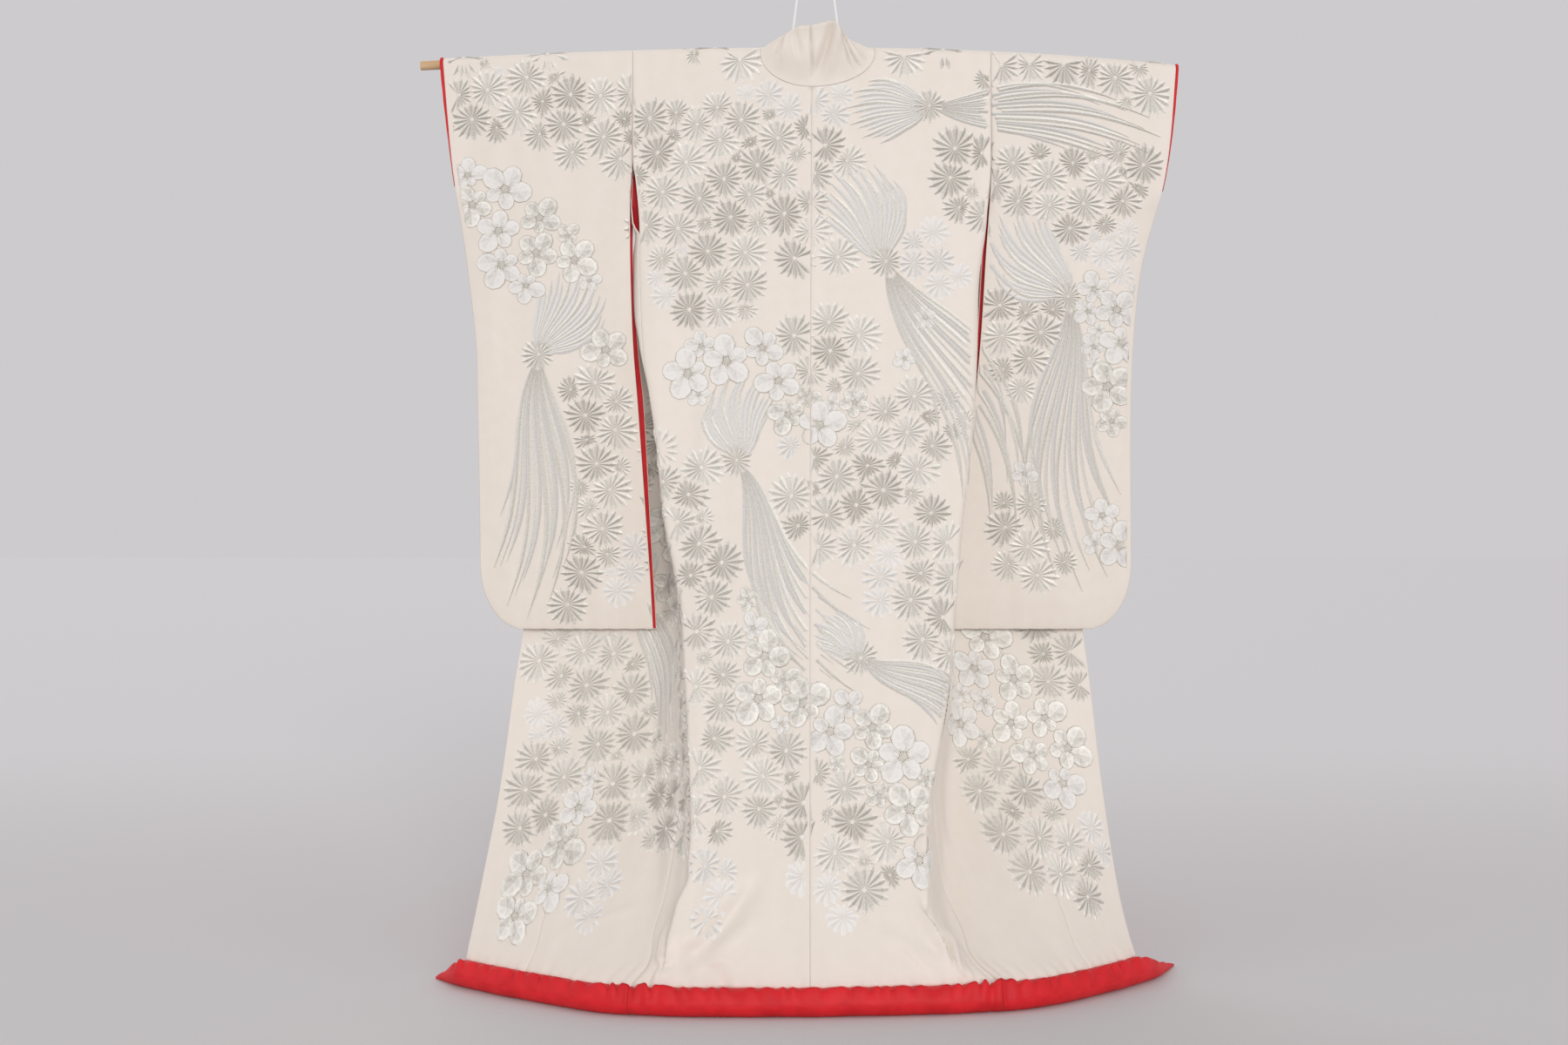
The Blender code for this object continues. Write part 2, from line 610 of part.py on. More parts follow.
def make_sleeve(side, layer, look):
    top = POLE_HEIGHT + OVER_POLE * np.radians(POLE_ANGLES)
    if layer == "front":
        top[0] -= 0.0003
    down = (1.60, 1.53, 1.46, CUFF_END_HEIGHT, 1.395, 1.37, 1.30, 1.2, 1.08, 0.96, 0.85, 0.77)
    corner = SLEEVE_BOTTOM + SLEEVE_CORNER_HEIGHT * (1 - np.sin(np.radians((0, 22, 42, 60, 76, 90))))
    levels = np.concatenate([top, down, corner])
    shares = np.tile((0, 0.16, 0.34, 0.52, 0.70, 0.84, 0.93, 0.975, 1.0), (len(levels), 1))
    surface = sleeve_surface(side, layer)
    cloth_wall(f"sleeve_{side}_{layer}", surface, shares, levels[:, None] + 0 * shares, look)


def make_cuff_edge(side, look):
    """The rolled lining round a cuff opening: down one layer, round the foot of the opening and up the other."""
    surface = {layer: sleeve_surface(side, layer) for layer in ("back", "front")}
    hanging = np.array((POLE_HEIGHT, 1.61, 1.56, 1.51, 1.47, 1.445, CUFF_END_HEIGHT + 0.002))
    laps = POLE_HEIGHT + OVER_POLE * np.radians(POLE_ANGLES[:-1])
    one = np.ones(1)
    levels = np.concatenate([laps, hanging, hanging[::-1], laps[:0:-1]])
    layers = ["back"] * (len(laps) + len(hanging)) + ["front"] * (len(laps) + len(hanging) - 1)
    path = np.array([surface[layer](one, one * level)[0] for layer, level in zip(layers, levels)])
    ahead = np.roll(path, -1, axis=0) - np.roll(path, 1, axis=0)
    ahead /= np.linalg.norm(ahead, axis=1, keepdims=True)
    outward = np.array((SIDES[side], 0.0, 0.0))
    outward = outward - ahead * (ahead @ outward)[:, None]
    outward /= np.linalg.norm(outward, axis=1, keepdims=True)
    through = np.cross(ahead, outward) * SIDES[side]
    width = CUFF_FOOT_WIDTH + (CUFF_EDGE_WIDTH - CUFF_FOOT_WIDTH) * ease(levels, CUFF_END_HEIGHT, 1.66)
    low, high = -WALL / 2, CUFF_EDGE_DEPTH - WALL / 2
    rings = []
    for n, point in enumerate(path):
        corners = ((SEAM_GAP, low), (SEAM_GAP + width[n], low), (SEAM_GAP + width[n], high), (SEAM_GAP, high))
        rings.append(np.array([point + outward[n] * a + through[n] * b for a, b in corners]))
    swept(f"cuff_edge_{side}", rings, look, closed=True)


# ---------------------------------------------------------------- hem roll, pole and cord


def roll_rings(side, places):
    """Sections of the hem roll at the places out from the centre, tapered to a tip beyond the cloth's end."""
    tip, cloth_end = HEM_PLAN[side]["out"][-1], SECTIONS[side]["front"][-1]
    step = 1e-3
    rings = []
    for out in places:
        depth = float(hem_depth(side, out))
        slope = float(hem_depth(side, out + step) - hem_depth(side, out - step)) / (2 * step)
        normal = np.array((-slope, 1.0)) / math.hypot(1.0, slope)
        taper = min((tip - out) / (tip - cloth_end), 1.0)
        near = math.exp(-(((out - GATHER_PLACE) / GATHER_REACH) ** 2))
        puff = 1 + GATHER_PUFF * near * math.sin((out - GATHER_PLACE) * math.tau / GATHER_STEP)
        half_depth = (TIP_SIZE + (ROLL_DEPTH - TIP_SIZE) * taper) / 2 * puff
        half_height = (TIP_SIZE + (ROLL_HEIGHT - TIP_SIZE) * taper) / 2 * min(puff, 1.0)
        ring = []
        for angle in np.radians(np.arange(0, 360, 30)):
            across = half_depth * math.cos(angle)
            rise = half_height * max(1 + math.sin(angle) * 1.06, 0.0) * 2 / 2.06
            ring.append(to_frame(SIDES[side] * (out + normal[0] * across), depth + normal[1] * across, rise))
        rings.append(np.array(ring))
    return rings


def make_roll(look):
    """The padded roll in three lengths, which meet at the side seams. The rings are close where it is gathered."""
    back = np.concatenate([np.linspace(0, 0.225, 10), np.linspace(0.232, ROLL_SPLIT - SEAM_GAP / 2, 12)])
    swept("fuki_back", roll_rings("left", back[:0:-1]) + roll_rings("right", back), look)
    for side in SIDES:
        tip, cloth_end = HEM_PLAN[side]["out"][-1], SECTIONS[side]["front"][-1]
        near = np.linspace(ROLL_SPLIT + SEAM_GAP / 2, 0.345, 9)
        outer = np.concatenate([near, np.linspace(0.365, cloth_end, 9), np.linspace(cloth_end, tip, 6)[1:]])
        swept(f"fuki_{side}", roll_rings(side, outer), look)


def tube(name, points, radius, look, resolution):
    curve = bpy.data.curves.new(name, "CURVE")
    curve.dimensions = "3D"
    curve.bevel_depth = radius
    curve.bevel_resolution = resolution
    curve.use_fill_caps = True
    line = curve.splines.new("POLY")
    line.points.add(len(points) - 1)
    for point, place in zip(line.points, points):
        point.co = (*map(float, place), 1.0)
    curve.materials.append(look)
    made = bpy.data.objects.new(name, curve)
    bpy.context.scene.collection.objects.link(made)
    return made


def make_pole(look):
    xs = np.linspace(POLE_LEFT, POLE_RIGHT, 22)
    tube("pole", to_frame(xs, 0.0 * xs, pole_axis(xs)), POLE_RADIUS, look, 2)


def cord_route():
    """From one tie, up to the loop over its hook and down to the other tie."""
    feet = {side: np.array((x, pole_axis(x) + POLE_RADIUS + CORD_DIAMETER + 2 * SEAM_GAP))
            for side, x in CORD_FEET.items()}
    centre = np.array((LOOP_OUT, LOOP_HEIGHT - CORD_DIAMETER / 2 - CORD_BEND))
    path = []
    for side, sign in SIDES.items():
        foot = feet[side]
        reach = centre - foot
        lean = math.atan2(abs(reach[0]), reach[1]) + math.asin(-CORD_BEND / np.linalg.norm(reach))
        touch = centre + CORD_BEND * np.array((sign * math.cos(lean), math.sin(lean)))
        leg = [foot + (touch - foot) * t for t in np.linspace(0, 1, 20)]
        arc = [
            centre + CORD_BEND * np.array((sign * math.cos(a), math.sin(a)))
            for a in np.linspace(lean, math.pi / 2, 5)[1:-1]
        ]
        path.append(leg + arc)
    top = [np.array((LOOP_OUT, LOOP_HEIGHT - CORD_DIAMETER / 2))]
    plan = np.array(path[0] + top + path[1][::-1])
    return to_frame(plan[:, 0], 0.0 * plan[:, 0], plan[:, 1])


def make_cord(look):
    tube("hang_cord", cord_route(), CORD_DIAMETER / 2, look, 2)
    for side, x in CORD_FEET.items():
        rings = []
        profile = ((0.0, 0.0), (CORD_DIAMETER * 0.8, 0.0), (CORD_DIAMETER, 0.25), (CORD_DIAMETER, 0.75),
                   (CORD_DIAMETER * 0.8, 1.0), (0.0, 1.0))
        for angle in np.linspace(0, math.tau, 17)[:-1]:
            ring = []
            for rise, share in profile:
                radius = POLE_RADIUS + SEAM_GAP + rise
                place = x + (share - 0.5) * WRAP_WIDTH
                ring.append(to_frame(place, radius * math.sin(angle), pole_axis(place) + radius * math.cos(angle)))
            rings.append(np.array(ring))
        swept(f"cord_wrap_{side}", rings, look, closed=True)


# ---------------------------------------------------------------- the part

for old in list(bpy.data.objects):
    bpy.data.objects.remove(old)

satin = material("ivory_satin", IVORY, 0.42)
red_silk = material("red_silk", RED, 0.55)
pale_wood = material("pale_wood", WOOD, 0.5)
white_cord = material("white_cord", CORD_WHITE, 0.7)

for side in SIDES:
    make_back(side, satin)
    make_front(side, satin)
    make_okumi(side, satin)
    for layer in ("back", "front"):
        make_sleeve(side, layer, satin)
    make_cuff_edge(side, red_silk)
make_collar(satin)
make_roll(red_silk)
make_pole(pale_wood)
make_cord(white_cord)
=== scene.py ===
"""Looks of an uchikake, an ivory wedding kimono with a red padded hem, hung by its sleeves on a pole.

Metres, +Z up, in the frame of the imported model: the origin is the top of the hanging cord's loop. The
garment's back faces -Y. Heights are measured from the floor, depths run forward from the pole, and places
along the pole are measured from the centre of the neck.
"""

import itertools
import math

import bpy
import numpy as np
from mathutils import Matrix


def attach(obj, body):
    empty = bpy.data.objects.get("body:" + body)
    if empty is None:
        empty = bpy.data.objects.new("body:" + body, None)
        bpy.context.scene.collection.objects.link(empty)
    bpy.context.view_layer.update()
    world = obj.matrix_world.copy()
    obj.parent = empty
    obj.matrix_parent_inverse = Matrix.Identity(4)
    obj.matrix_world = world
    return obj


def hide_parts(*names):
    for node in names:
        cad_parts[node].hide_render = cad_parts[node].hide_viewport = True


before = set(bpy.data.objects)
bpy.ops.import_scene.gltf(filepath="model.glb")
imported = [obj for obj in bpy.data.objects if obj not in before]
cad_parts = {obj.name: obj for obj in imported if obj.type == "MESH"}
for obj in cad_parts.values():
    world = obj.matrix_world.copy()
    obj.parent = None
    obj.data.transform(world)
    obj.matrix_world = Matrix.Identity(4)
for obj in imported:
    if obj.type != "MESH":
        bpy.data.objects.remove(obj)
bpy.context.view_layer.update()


def deselect():
    """Leaves nothing selected, so that the next join or transform takes new pieces alone."""
    for piece in bpy.context.selected_objects:
        piece.select_set(False)


deselect()


# ---------------------------------------------------------------- camera
# A level view of the garment's back from three and a half metres away, at half its height.

LOOP_HEIGHT = 1.936
LOOP_OUT = 0.007
CAMERA_DISTANCE = 3.5
CAMERA_OUT = -0.058
CAMERA_HEIGHT = 0.795
CAMERA_LENS = 43.75
CAMERA_SENSOR = 36

bpy.ops.object.camera_add(
    location=(CAMERA_OUT, -CAMERA_DISTANCE, CAMERA_HEIGHT - LOOP_HEIGHT), rotation=(math.pi / 2, 0, 0)
)
camera = bpy.context.object
camera.data.lens = CAMERA_LENS
camera.data.sensor_width = CAMERA_SENSOR
bpy.context.scene.camera = camera


# ---------------------------------------------------------------- hanging cord
# A white braided cord, tied round the pole on both sides of the neck. It rises to a loop over a hook, and
# the garment's weight holds it taut.

CORD_DIAMETER = 0.005
CORD_FEET = {"left": -0.038, "right": 0.052}
CORD_BEND = 0.013
CORD_SIDES = 12
# Sections of a cord's rounded end: their size and their way out, in shares of the cord's radius.
CORD_DOME = ((0.85, 0.3), (0.45, 0.55), (0.02, 0.62))
BRAID_TURNS = 3 * math.tau
BRAID_TWIST = 2400
SEAM_GAP = 0.0003
POLE_RADIUS = 0.0085
POLE_HEIGHT = 1.6563
POLE_BOW = 0.058
POLE_TILT = 0.0207
SIDES = {"left": -1.0, "right": 1.0}


def pole_axis(out):
    """Height of the pole's axis, which bows down to both ends and a little more on the right."""
    return POLE_HEIGHT - POLE_BOW * out**2 - POLE_TILT * out**3


def to_frame(out, depth, height):
    """Points in the row frame from the place along the pole, the depth forward and the height."""
    out, depth, height = np.broadcast_arrays(out, depth, height)
    return np.stack([out - LOOP_OUT, -depth, height - LOOP_HEIGHT], axis=-1)


def cord_route():
    """From one tie, up to the loop and down to the other tie."""
    centre = np.array((LOOP_OUT, LOOP_HEIGHT - CORD_DIAMETER / 2 - CORD_BEND))
    path = []
    for side, sign in SIDES.items():
        out = CORD_FEET[side]
        foot = np.array((out, pole_axis(out) + POLE_RADIUS + CORD_DIAMETER + 2 * SEAM_GAP))
        reach = centre - foot
        lean = math.atan2(abs(reach[0]), reach[1]) + math.asin(-CORD_BEND / np.linalg.norm(reach))
        touch = centre + CORD_BEND * np.array((sign * math.cos(lean), math.sin(lean)))
        leg = [foot + (touch - foot) * t for t in np.linspace(0, 1, 20)]
        angles = np.linspace(lean, math.pi / 2, 7)[1:-1]
        arc = [centre + CORD_BEND * np.array((sign * math.cos(a), math.sin(a))) for a in angles]
        path.append(leg + arc)
    top = [np.array((LOOP_OUT, LOOP_HEIGHT - CORD_DIAMETER / 2))]
    plan = np.array(path[0] + top + path[1][::-1])
    return to_frame(plan[:, 0], 0.0, plan[:, 1])


class Wire:
    """A socket of a material's nodes. Arithmetic on it adds Math nodes."""

    def __init__(self, tree, socket=None):
        self.tree, self.socket = tree, socket

    def node(self, kind, settings=(), sockets=(), output=0):
        """Adds a node, sets its settings and then its sockets, by name or number, and gives one output."""
        made = self.tree.nodes.new(kind)
        for key, value in dict(settings).items():
            setattr(made, key, value)
        for key, value in dict(sockets).items():
            self.put(made.inputs[key], value)
        return Wire(self.tree, made.outputs[output])

    def put(self, target, value):
        if isinstance(value, Wire):
            self.tree.links.new(value.socket, target)
        else:
            target.default_value = value

    def maths(self, operation, *values):
        return self.node("ShaderNodeMath", {"operation": operation}, enumerate(values))

    def __add__(self, other):
        return self.maths("ADD", self, other)

    def __mul__(self, other):
        return self.maths("MULTIPLY", self, other)

    def __sub__(self, other):
        return self.maths("SUBTRACT", self, other)

    def blend(self, first, second):
        """A colour between two, by this wire as the share of the second."""
        return self.node("ShaderNodeMix", {"data_type": "RGBA"}, {0: self, 6: first, 7: second}, output=2)

    def between(self, low, high):
        """0 below low and 1 above high, softly."""
        kind = {"interpolation_type": "SMOOTHSTEP"}
        return self.node("ShaderNodeMapRange", kind, {"Value": self, "From Min": low, "From Max": high})

    def surface(self):
        """Places on a piece's surface map, in metres."""
        return self.node("ShaderNodeUVMap", {"uv_map": "surface"})

    def stretch(self, scale, **more):
        return self.node("ShaderNodeMapping", (), {"Vector": self, "Scale": scale, **more})

    def noise(self, scale, detail, **more):
        return self.node("ShaderNodeTexNoise", (), {"Vector": self, "Scale": scale, "Detail": detail, **more})

    def bump(self, strength, distance, **more):
        """A normal tilted by this wire as a height."""
        sockets = {"Strength": strength, "Distance": distance, "Height": self, **more}
        return self.node("ShaderNodeBump", (), sockets)


def new_look(name, roughness, **fixed):
    """A material, its wire to build nodes from and its shader, with the fixed values set on the shader."""
    look = bpy.data.materials.new(name)
    look.use_nodes = True
    shader = look.node_tree.nodes["Principled BSDF"]
    shader.inputs["Roughness"].default_value = roughness
    for key, value in fixed.items():
        shader.inputs[key.replace("_", " ")].default_value = value
    return look, Wire(look.node_tree), shader


def cord_look():
    """White cord of two sets of strands that are braided across each other."""
    look, wire, shader = new_look("white_cord_braid", 0.72, Sheen_Weight=0.3, Sheen_Roughness=0.5)
    uv = wire.surface()
    around = wire.node("ShaderNodeSeparateXYZ", (), {0: uv})
    along = Wire(wire.tree, around.socket.node.outputs[1])
    one_way = wire.maths("SINE", around * BRAID_TURNS + along * BRAID_TWIST)
    other_way = wire.maths("SINE", around * BRAID_TURNS - along * BRAID_TWIST)
    strands = wire.maths("MAXIMUM", one_way, other_way)
    # The cord is painted darker between its strands, in the grooves that the bump sinks: painted shade.
    shade = strands.between(-0.6, 0.9)
    wire.put(shader.inputs["Base Color"], shade.blend((0.74, 0.74, 0.73, 1), (0.90, 0.90, 0.89, 1)))
    wire.put(shader.inputs["Normal"], strands.bump(0.3, 0.0005))
    return look


def mesh_piece(name, points, faces, uv, looks, look_numbers=None):
    """A smooth mesh with one place on the surface map for each corner of each face."""
    mesh = bpy.data.meshes.new(name)
    faces = faces if isinstance(faces, list) else np.asarray(faces).tolist()
    mesh.from_pydata(np.reshape(points, (-1, 3)).tolist(), [], faces)
    layer = mesh.uv_layers.new(name="surface")
    layer.data.foreach_set("uv", np.asarray(uv, np.float32).ravel())
    for look in looks:
        mesh.materials.append(look)
    if look_numbers is not None:
        mesh.polygons.foreach_set("material_index", np.asarray(look_numbers, np.int32))
    mesh.polygons.foreach_set("use_smooth", np.ones(len(mesh.polygons), bool))
    mesh.update()
    made = bpy.data.objects.new(name, mesh)
    bpy.context.scene.collection.objects.link(made)
    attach(made, "root")
    return made


def tube_grid(rings, closed=False):
    """Quads, and their corners' places round and along, for rings of points with equal counts."""
    count, sides = rings.shape[:2]
    length = np.linalg.norm(np.diff(rings.mean(axis=1), axis=0), axis=1)
    along = np.concatenate([[0], np.cumsum(length)])
    j, i = np.meshgrid(np.arange(count if closed else count - 1), np.arange(sides), indexing="ij")
    corners = [(j, i), (j, i + 1), (j + 1, i + 1), (j + 1, i)]
    faces = np.stack([(a % count) * sides + b % sides for a, b in corners], axis=-1).reshape(-1, 4)
    along = np.append(along, along[-1] + (along[-1] - along[-2] if closed else 0))
    uv = np.stack([np.stack([b / sides, along[a]], axis=-1) for a, b in corners], axis=2)
    return faces, uv.reshape(-1, 2)


def unit(vectors):
    """Vectors brought to length one."""
    return vectors / np.maximum(np.linalg.norm(vectors, axis=-1, keepdims=True), 1e-12)


def cord_piece(name, path, radius, look):
    """A round cord on a path in a plane across Y, closed at both ends by small domes."""
    ahead = unit(np.gradient(path, axis=0))
    side = unit(np.cross(ahead, (0, 1, 0)))
    up = np.cross(side, ahead)
    ahead = np.cross(up, side)
    angle = np.arange(CORD_SIDES) * math.tau / CORD_SIDES
    around = side[:, None] * np.cos(angle)[None, :, None] + up[:, None] * np.sin(angle)[None, :, None]
    rings = path[:, None] + radius * around
    ends = []
    for at, way in ((0, -1), (-1, 1)):
        for share, lift in CORD_DOME:
            ends.append(path[at] + radius * (share * around[at] + way * lift * ahead[at]))
    rings = np.concatenate([[ends[2], ends[1], ends[0]], rings, ends[3:]])
    faces, uv = tube_grid(rings)
    return mesh_piece(name, rings, faces[:, ::-1], uv.reshape(-1, 4, 2)[:, ::-1], [look])


braid = cord_look()
route = cord_route()
hanging_cord = cord_piece("hanging_cord", route, CORD_DIAMETER / 2, braid)
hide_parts("hang_cord")


# ---------------------------------------------------------------- cord ties
# On each side of the neck the cord goes twice round the pole, pulled tight against the wood.

TIE_TURNS = 2
TIE_WIDTH = 0.0105

for side, out in CORD_FEET.items():
    turns = []
    for turn in range(TIE_TURNS):
        deselect()
        place = out + TIE_WIDTH * ((turn + 0.5) / TIE_TURNS - 0.5)
        centre = to_frame(place, 0.0, pole_axis(place))
        bpy.ops.mesh.primitive_torus_add(
            location=tuple(centre),
            rotation=(0, math.pi / 2, 0),
            major_segments=40,
            minor_segments=CORD_SIDES,
            major_radius=POLE_RADIUS + CORD_DIAMETER / 2 + SEAM_GAP,
            minor_radius=CORD_DIAMETER / 2,
        )
        turns.append(bpy.context.object)
    for piece in turns:
        piece.select_set(True)
    bpy.ops.object.join()
    tie = bpy.context.object
    tie.name = f"cord_tie_{side}"
    bpy.ops.object.transform_apply(location=True, rotation=True, scale=True)
    bpy.ops.object.shade_smooth()
    tie.data.uv_layers[0].name = "surface"
    uv = np.zeros(len(tie.data.loops) * 2, np.float32)
    tie.data.uv_layers[0].data.foreach_get("uv", uv)
    uv = uv.reshape(-1, 2)[:, ::-1] * (1, math.tau * (POLE_RADIUS + CORD_DIAMETER / 2))
    tie.data.uv_layers[0].data.foreach_set("uv", uv.astype(np.float32).ravel())
    tie.data.materials.clear()
    tie.data.materials.append(braid)
    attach(tie, "root")
    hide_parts(f"cord_wrap_{side}")


# ---------------------------------------------------------------- pole
# A turned stick of pale, oiled wood through both sleeves. It bows a little under the garment's weight, and
# its cut ends are eased.

POLE_LEFT = -0.718
POLE_RIGHT = 0.655
POLE_CUTS = 40
POLE_END_EASING = 0.0012


def wood_look():
    """Pale oiled wood, with its grain drawn out along the pole."""
    look, wire, shader = new_look("pale_wood_grain", 0.48, Coat_Weight=0.12, Coat_Roughness=0.3)
    place = wire.node("ShaderNodeTexCoord", output=3)
    grain = place.stretch((9, 160, 160)).noise(1.0, 5.0)
    broad = place.noise(14.0, 2.0)
    tone = (grain * 0.7 + broad * 0.3).between(0.3, 0.7)
    wire.put(shader.inputs["Base Color"], tone.blend((0.50, 0.30, 0.15, 1), (0.70, 0.49, 0.29, 1)))
    wire.put(shader.inputs["Roughness"], tone * -0.12 + 0.55)
    wire.put(shader.inputs["Normal"], grain.bump(0.25, 0.0004))
    return look


deselect()
bpy.ops.mesh.primitive_cylinder_add(
    vertices=32,
    radius=POLE_RADIUS,
    depth=POLE_RIGHT - POLE_LEFT,
    location=((POLE_RIGHT + POLE_LEFT) / 2 - LOOP_OUT, 0, 0),
    rotation=(0, math.pi / 2, 0),
)
pole = bpy.context.object
pole.name = "pole_stick"
bpy.ops.object.transform_apply(location=True, rotation=True, scale=True)
bpy.ops.object.mode_set(mode="EDIT")
for cut in np.linspace(POLE_LEFT, POLE_RIGHT, POLE_CUTS + 2)[1:-1]:
    bpy.ops.mesh.select_all(action="SELECT")
    bpy.ops.mesh.bisect(plane_co=(cut - LOOP_OUT, 0, 0), plane_no=(1, 0, 0))
bpy.ops.object.mode_set(mode="OBJECT")
ease_ends = pole.modifiers.new("eased ends", "BEVEL")
ease_ends.width, ease_ends.segments, ease_ends.limit_method = POLE_END_EASING, 3, "ANGLE"
bpy.ops.object.modifier_apply(modifier=ease_ends.name)
for vertex in pole.data.vertices:
    vertex.co.z += pole_axis(vertex.co.x + LOOP_OUT) - LOOP_HEIGHT
bpy.ops.object.shade_smooth_by_angle(angle=math.radians(40))
pole.data.materials.append(wood_look())
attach(pole, "root")
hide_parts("pole")


# ---------------------------------------------------------------- body cloth
# Each half of the body is one loom width of ivory satin, lined with red silk, which runs up the back, over
# the pole and down the front without a shoulder seam. A seam down the middle of the back joins the halves.
# Below the sleeves the cloth folds round behind itself, because the fronts are opened outwards.

WALL = 0.0024
CLOTH_THICKNESS = 0.0020
CLOTH_STEP = 0.0095
SEAM_DIP = 0.0008
SEAM_REACH = 0.0022
OVER_POLE = POLE_RADIUS + 2 * SEAM_GAP + WALL / 2
SHOULDER_HALF = 0.328
FRONT_WIDTH = 0.228
OKUMI_WIDTH = 0.155
COLLAR_END_HEIGHT = 0.85
OKUMI_TIP_HEIGHT = 1.43
ARMHOLE_HEIGHT = 1.46
SIDE_SEAM_HEIGHT = 1.32
SIDE_SEAM_HALF = 0.316
HIP_HEIGHT = 0.95
HIP_HALF = 0.300
NECK_DEPTH = 0.0637
NECK_HALF = {"left": 0.094, "right": 0.115}
ROLL_HEIGHT = 0.045
HEM_HEIGHT = ROLL_HEIGHT + SEAM_GAP
CENTRE_DRIFT = 0.009
REAR_DEPTH = -0.027
HEM_CENTRE_DEPTH = 0.430
STEEP_SHARE = 0.13
FLARE_SHARE = 0.87
FLARE_POWER = 2.2

# Plan of the hem on the floor, from the centre back seam outwards: distance out and depth.
HEM_PLAN = {
    "left": {
        "out": (0.0, 0.245, 0.355, 0.408, 0.509, 0.597, 0.657),
        "depth": (HEM_CENTRE_DEPTH, 0.425, 0.400, 0.367, 0.300, 0.232, 0.180),
    },
    "right": {
        "out": (0.0, 0.260, 0.360, 0.485, 0.560, 0.590, 0.647),
        "depth": (HEM_CENTRE_DEPTH, 0.403, 0.372, 0.277, 0.205, 0.175, 0.083),
    },
}

# Level sections of the hanging body: the back's edge, how much further out the cloth's far side is there,
# where it turns outwards again behind, its way forward to the hem and where the front's edge hangs.
SECTIONS = {
    "left": {
        "height": (
            1.7, 1.62, 1.46, 1.43, 1.32, 1.285, 1.18, 1.11, 1.04,
            0.95, 0.8, 0.64, 0.5, 0.3, 0.15, 0.08, 0.045,
        ),
        "edge": (
            0.328, 0.328, 0.328, 0.3235, 0.316, 0.3165, 0.3165, 0.3105, 0.296,
            0.281, 0.263, 0.231, 0.220, 0.203, 0.214, 0.236, 0.256,
        ),
        "wrap": (
            0, 0, 0, 0.003, 0.010, 0.014, 0.012, 0.002, -0.008,
            -0.008, -0.003, 0.012, 0.022, 0.026, 0.022, 0.014, 0.010,
        ),
        "turn": (
            0.010, 0.036, 0.138, 0.144, 0.168, 0.1740, 0.1890, 0.1935, 0.201,
            0.214, 0.240, 0.266, 0.286, 0.276, 0.266, 0.270, 0.278,
        ),
        "forward": (*11 * (0,), 0.010, 0.120, 0.370, 0.685, 0.885, 1.000),
        "front": (*11 * (0.529,), 0.529, 0.544, 0.563, 0.583, 0.592, 0.597),
    },
    "right": {
        "height": (1.7, 1.62, 1.46, 1.32, 1.243, 1.11, 0.95, 0.8, 0.64, 0.5, 0.3, 0.15, 0.08, 0.045),
        "edge": (
            0.328, 0.328, 0.328, 0.316, 0.305, 0.2995, 0.287,
            0.267, 0.251, 0.235, 0.193, 0.190, 0.224, 0.262,
        ),
        "wrap": (0, 0, 0, -0.004, -0.006, -0.008, -0.012, -0.006, -0.004, 0.000, 0.012, 0.018, 0.014, 0.010),
        "turn": (
            0.024, 0.054, 0.146, 0.164, 0.173, 0.190, 0.206,
            0.224, 0.250, 0.258, 0.232, 0.222, 0.248, 0.284,
        ),
        "forward": (0, 0, 0, 0, 0, 0, 0, 0, 0.010, 0.120, 0.345, 0.660, 0.870, 1.000),
        "front": (*8 * (0.498,), 0.498, 0.509, 0.524, 0.537, 0.548, 0.557),
    },
}


def smooth_row(table, column, at):
    """The column's value at any place in the table's first column, on a smooth curve through its rows."""
    keys = list(table)
    xs, ys = np.array(table[keys[0]]), np.array(table[column])
    if xs[0] > xs[-1]:
        xs, ys = xs[::-1], ys[::-1]
    at = np.clip(np.asarray(at, float), xs[0], xs[-1])
    step = np.diff(ys) / np.diff(xs)
    slope = np.concatenate([[step[0]], (step[1:] + step[:-1]) / 2, [step[-1]]])
    slope[np.concatenate([[False], step[1:] * step[:-1] <= 0, [False]])] = 0
    i = np.clip(np.searchsorted(xs, at, side="right") - 1, 0, len(xs) - 2)
    width = xs[i + 1] - xs[i]
    t = (at - xs[i]) / width
    ends = ys[i] * (1 + 2 * t) * (1 - t) ** 2 + ys[i + 1] * t * t * (3 - 2 * t)
    return ends + width * (slope[i] * t * (1 - t) ** 2 - slope[i + 1] * t * t * (1 - t))


def ease(value, start, end):
    """0 before start, 1 after end and a soft rise between."""
    t = np.clip((np.asarray(value, float) - start) / (end - start), 0, 1)
    return t * t * (3 - 2 * t)


def hang_height(x, level):
    """The true height of a point whose level is given at the middle: the top follows the bowed pole."""
    return level - (POLE_HEIGHT - pole_axis(x)) * ease(level, 0.9, 1.6)


def spread(level):
    """0 high up and 1 low down, where the fronts that run to the hem's ends draw the side folds open."""
    return ease(level, 0.75, 0.45)


def floor_share(level):
    """0 above and 1 at the hem, where the cloth takes the plan of the hem on the floor."""
    return ease(level, 0.16, HEM_HEIGHT)


def hem_depth(side, out):
    """How far forward of the pole the hem lies on the floor at a distance out."""
    return smooth_row(HEM_PLAN[side], "depth", out)


def back_depth(level):
    """How far forward of the pole the centre back hangs: steep at the top and flaring to the floor."""
    t = np.clip((POLE_HEIGHT - level) / (POLE_HEIGHT - ROLL_HEIGHT), 0, 1)
    return OVER_POLE + (HEM_CENTRE_DEPTH - OVER_POLE) * (STEEP_SHARE * t + FLARE_SHARE * t**FLARE_POWER)


def front_depth(side, out, level):
    """Depth of the opened front: behind the sleeves, then forward to its place on the hem."""
    forward = smooth_row(SECTIONS[side], "forward", level)
    return REAR_DEPTH + (hem_depth(side, np.abs(out)) - REAR_DEPTH) * forward


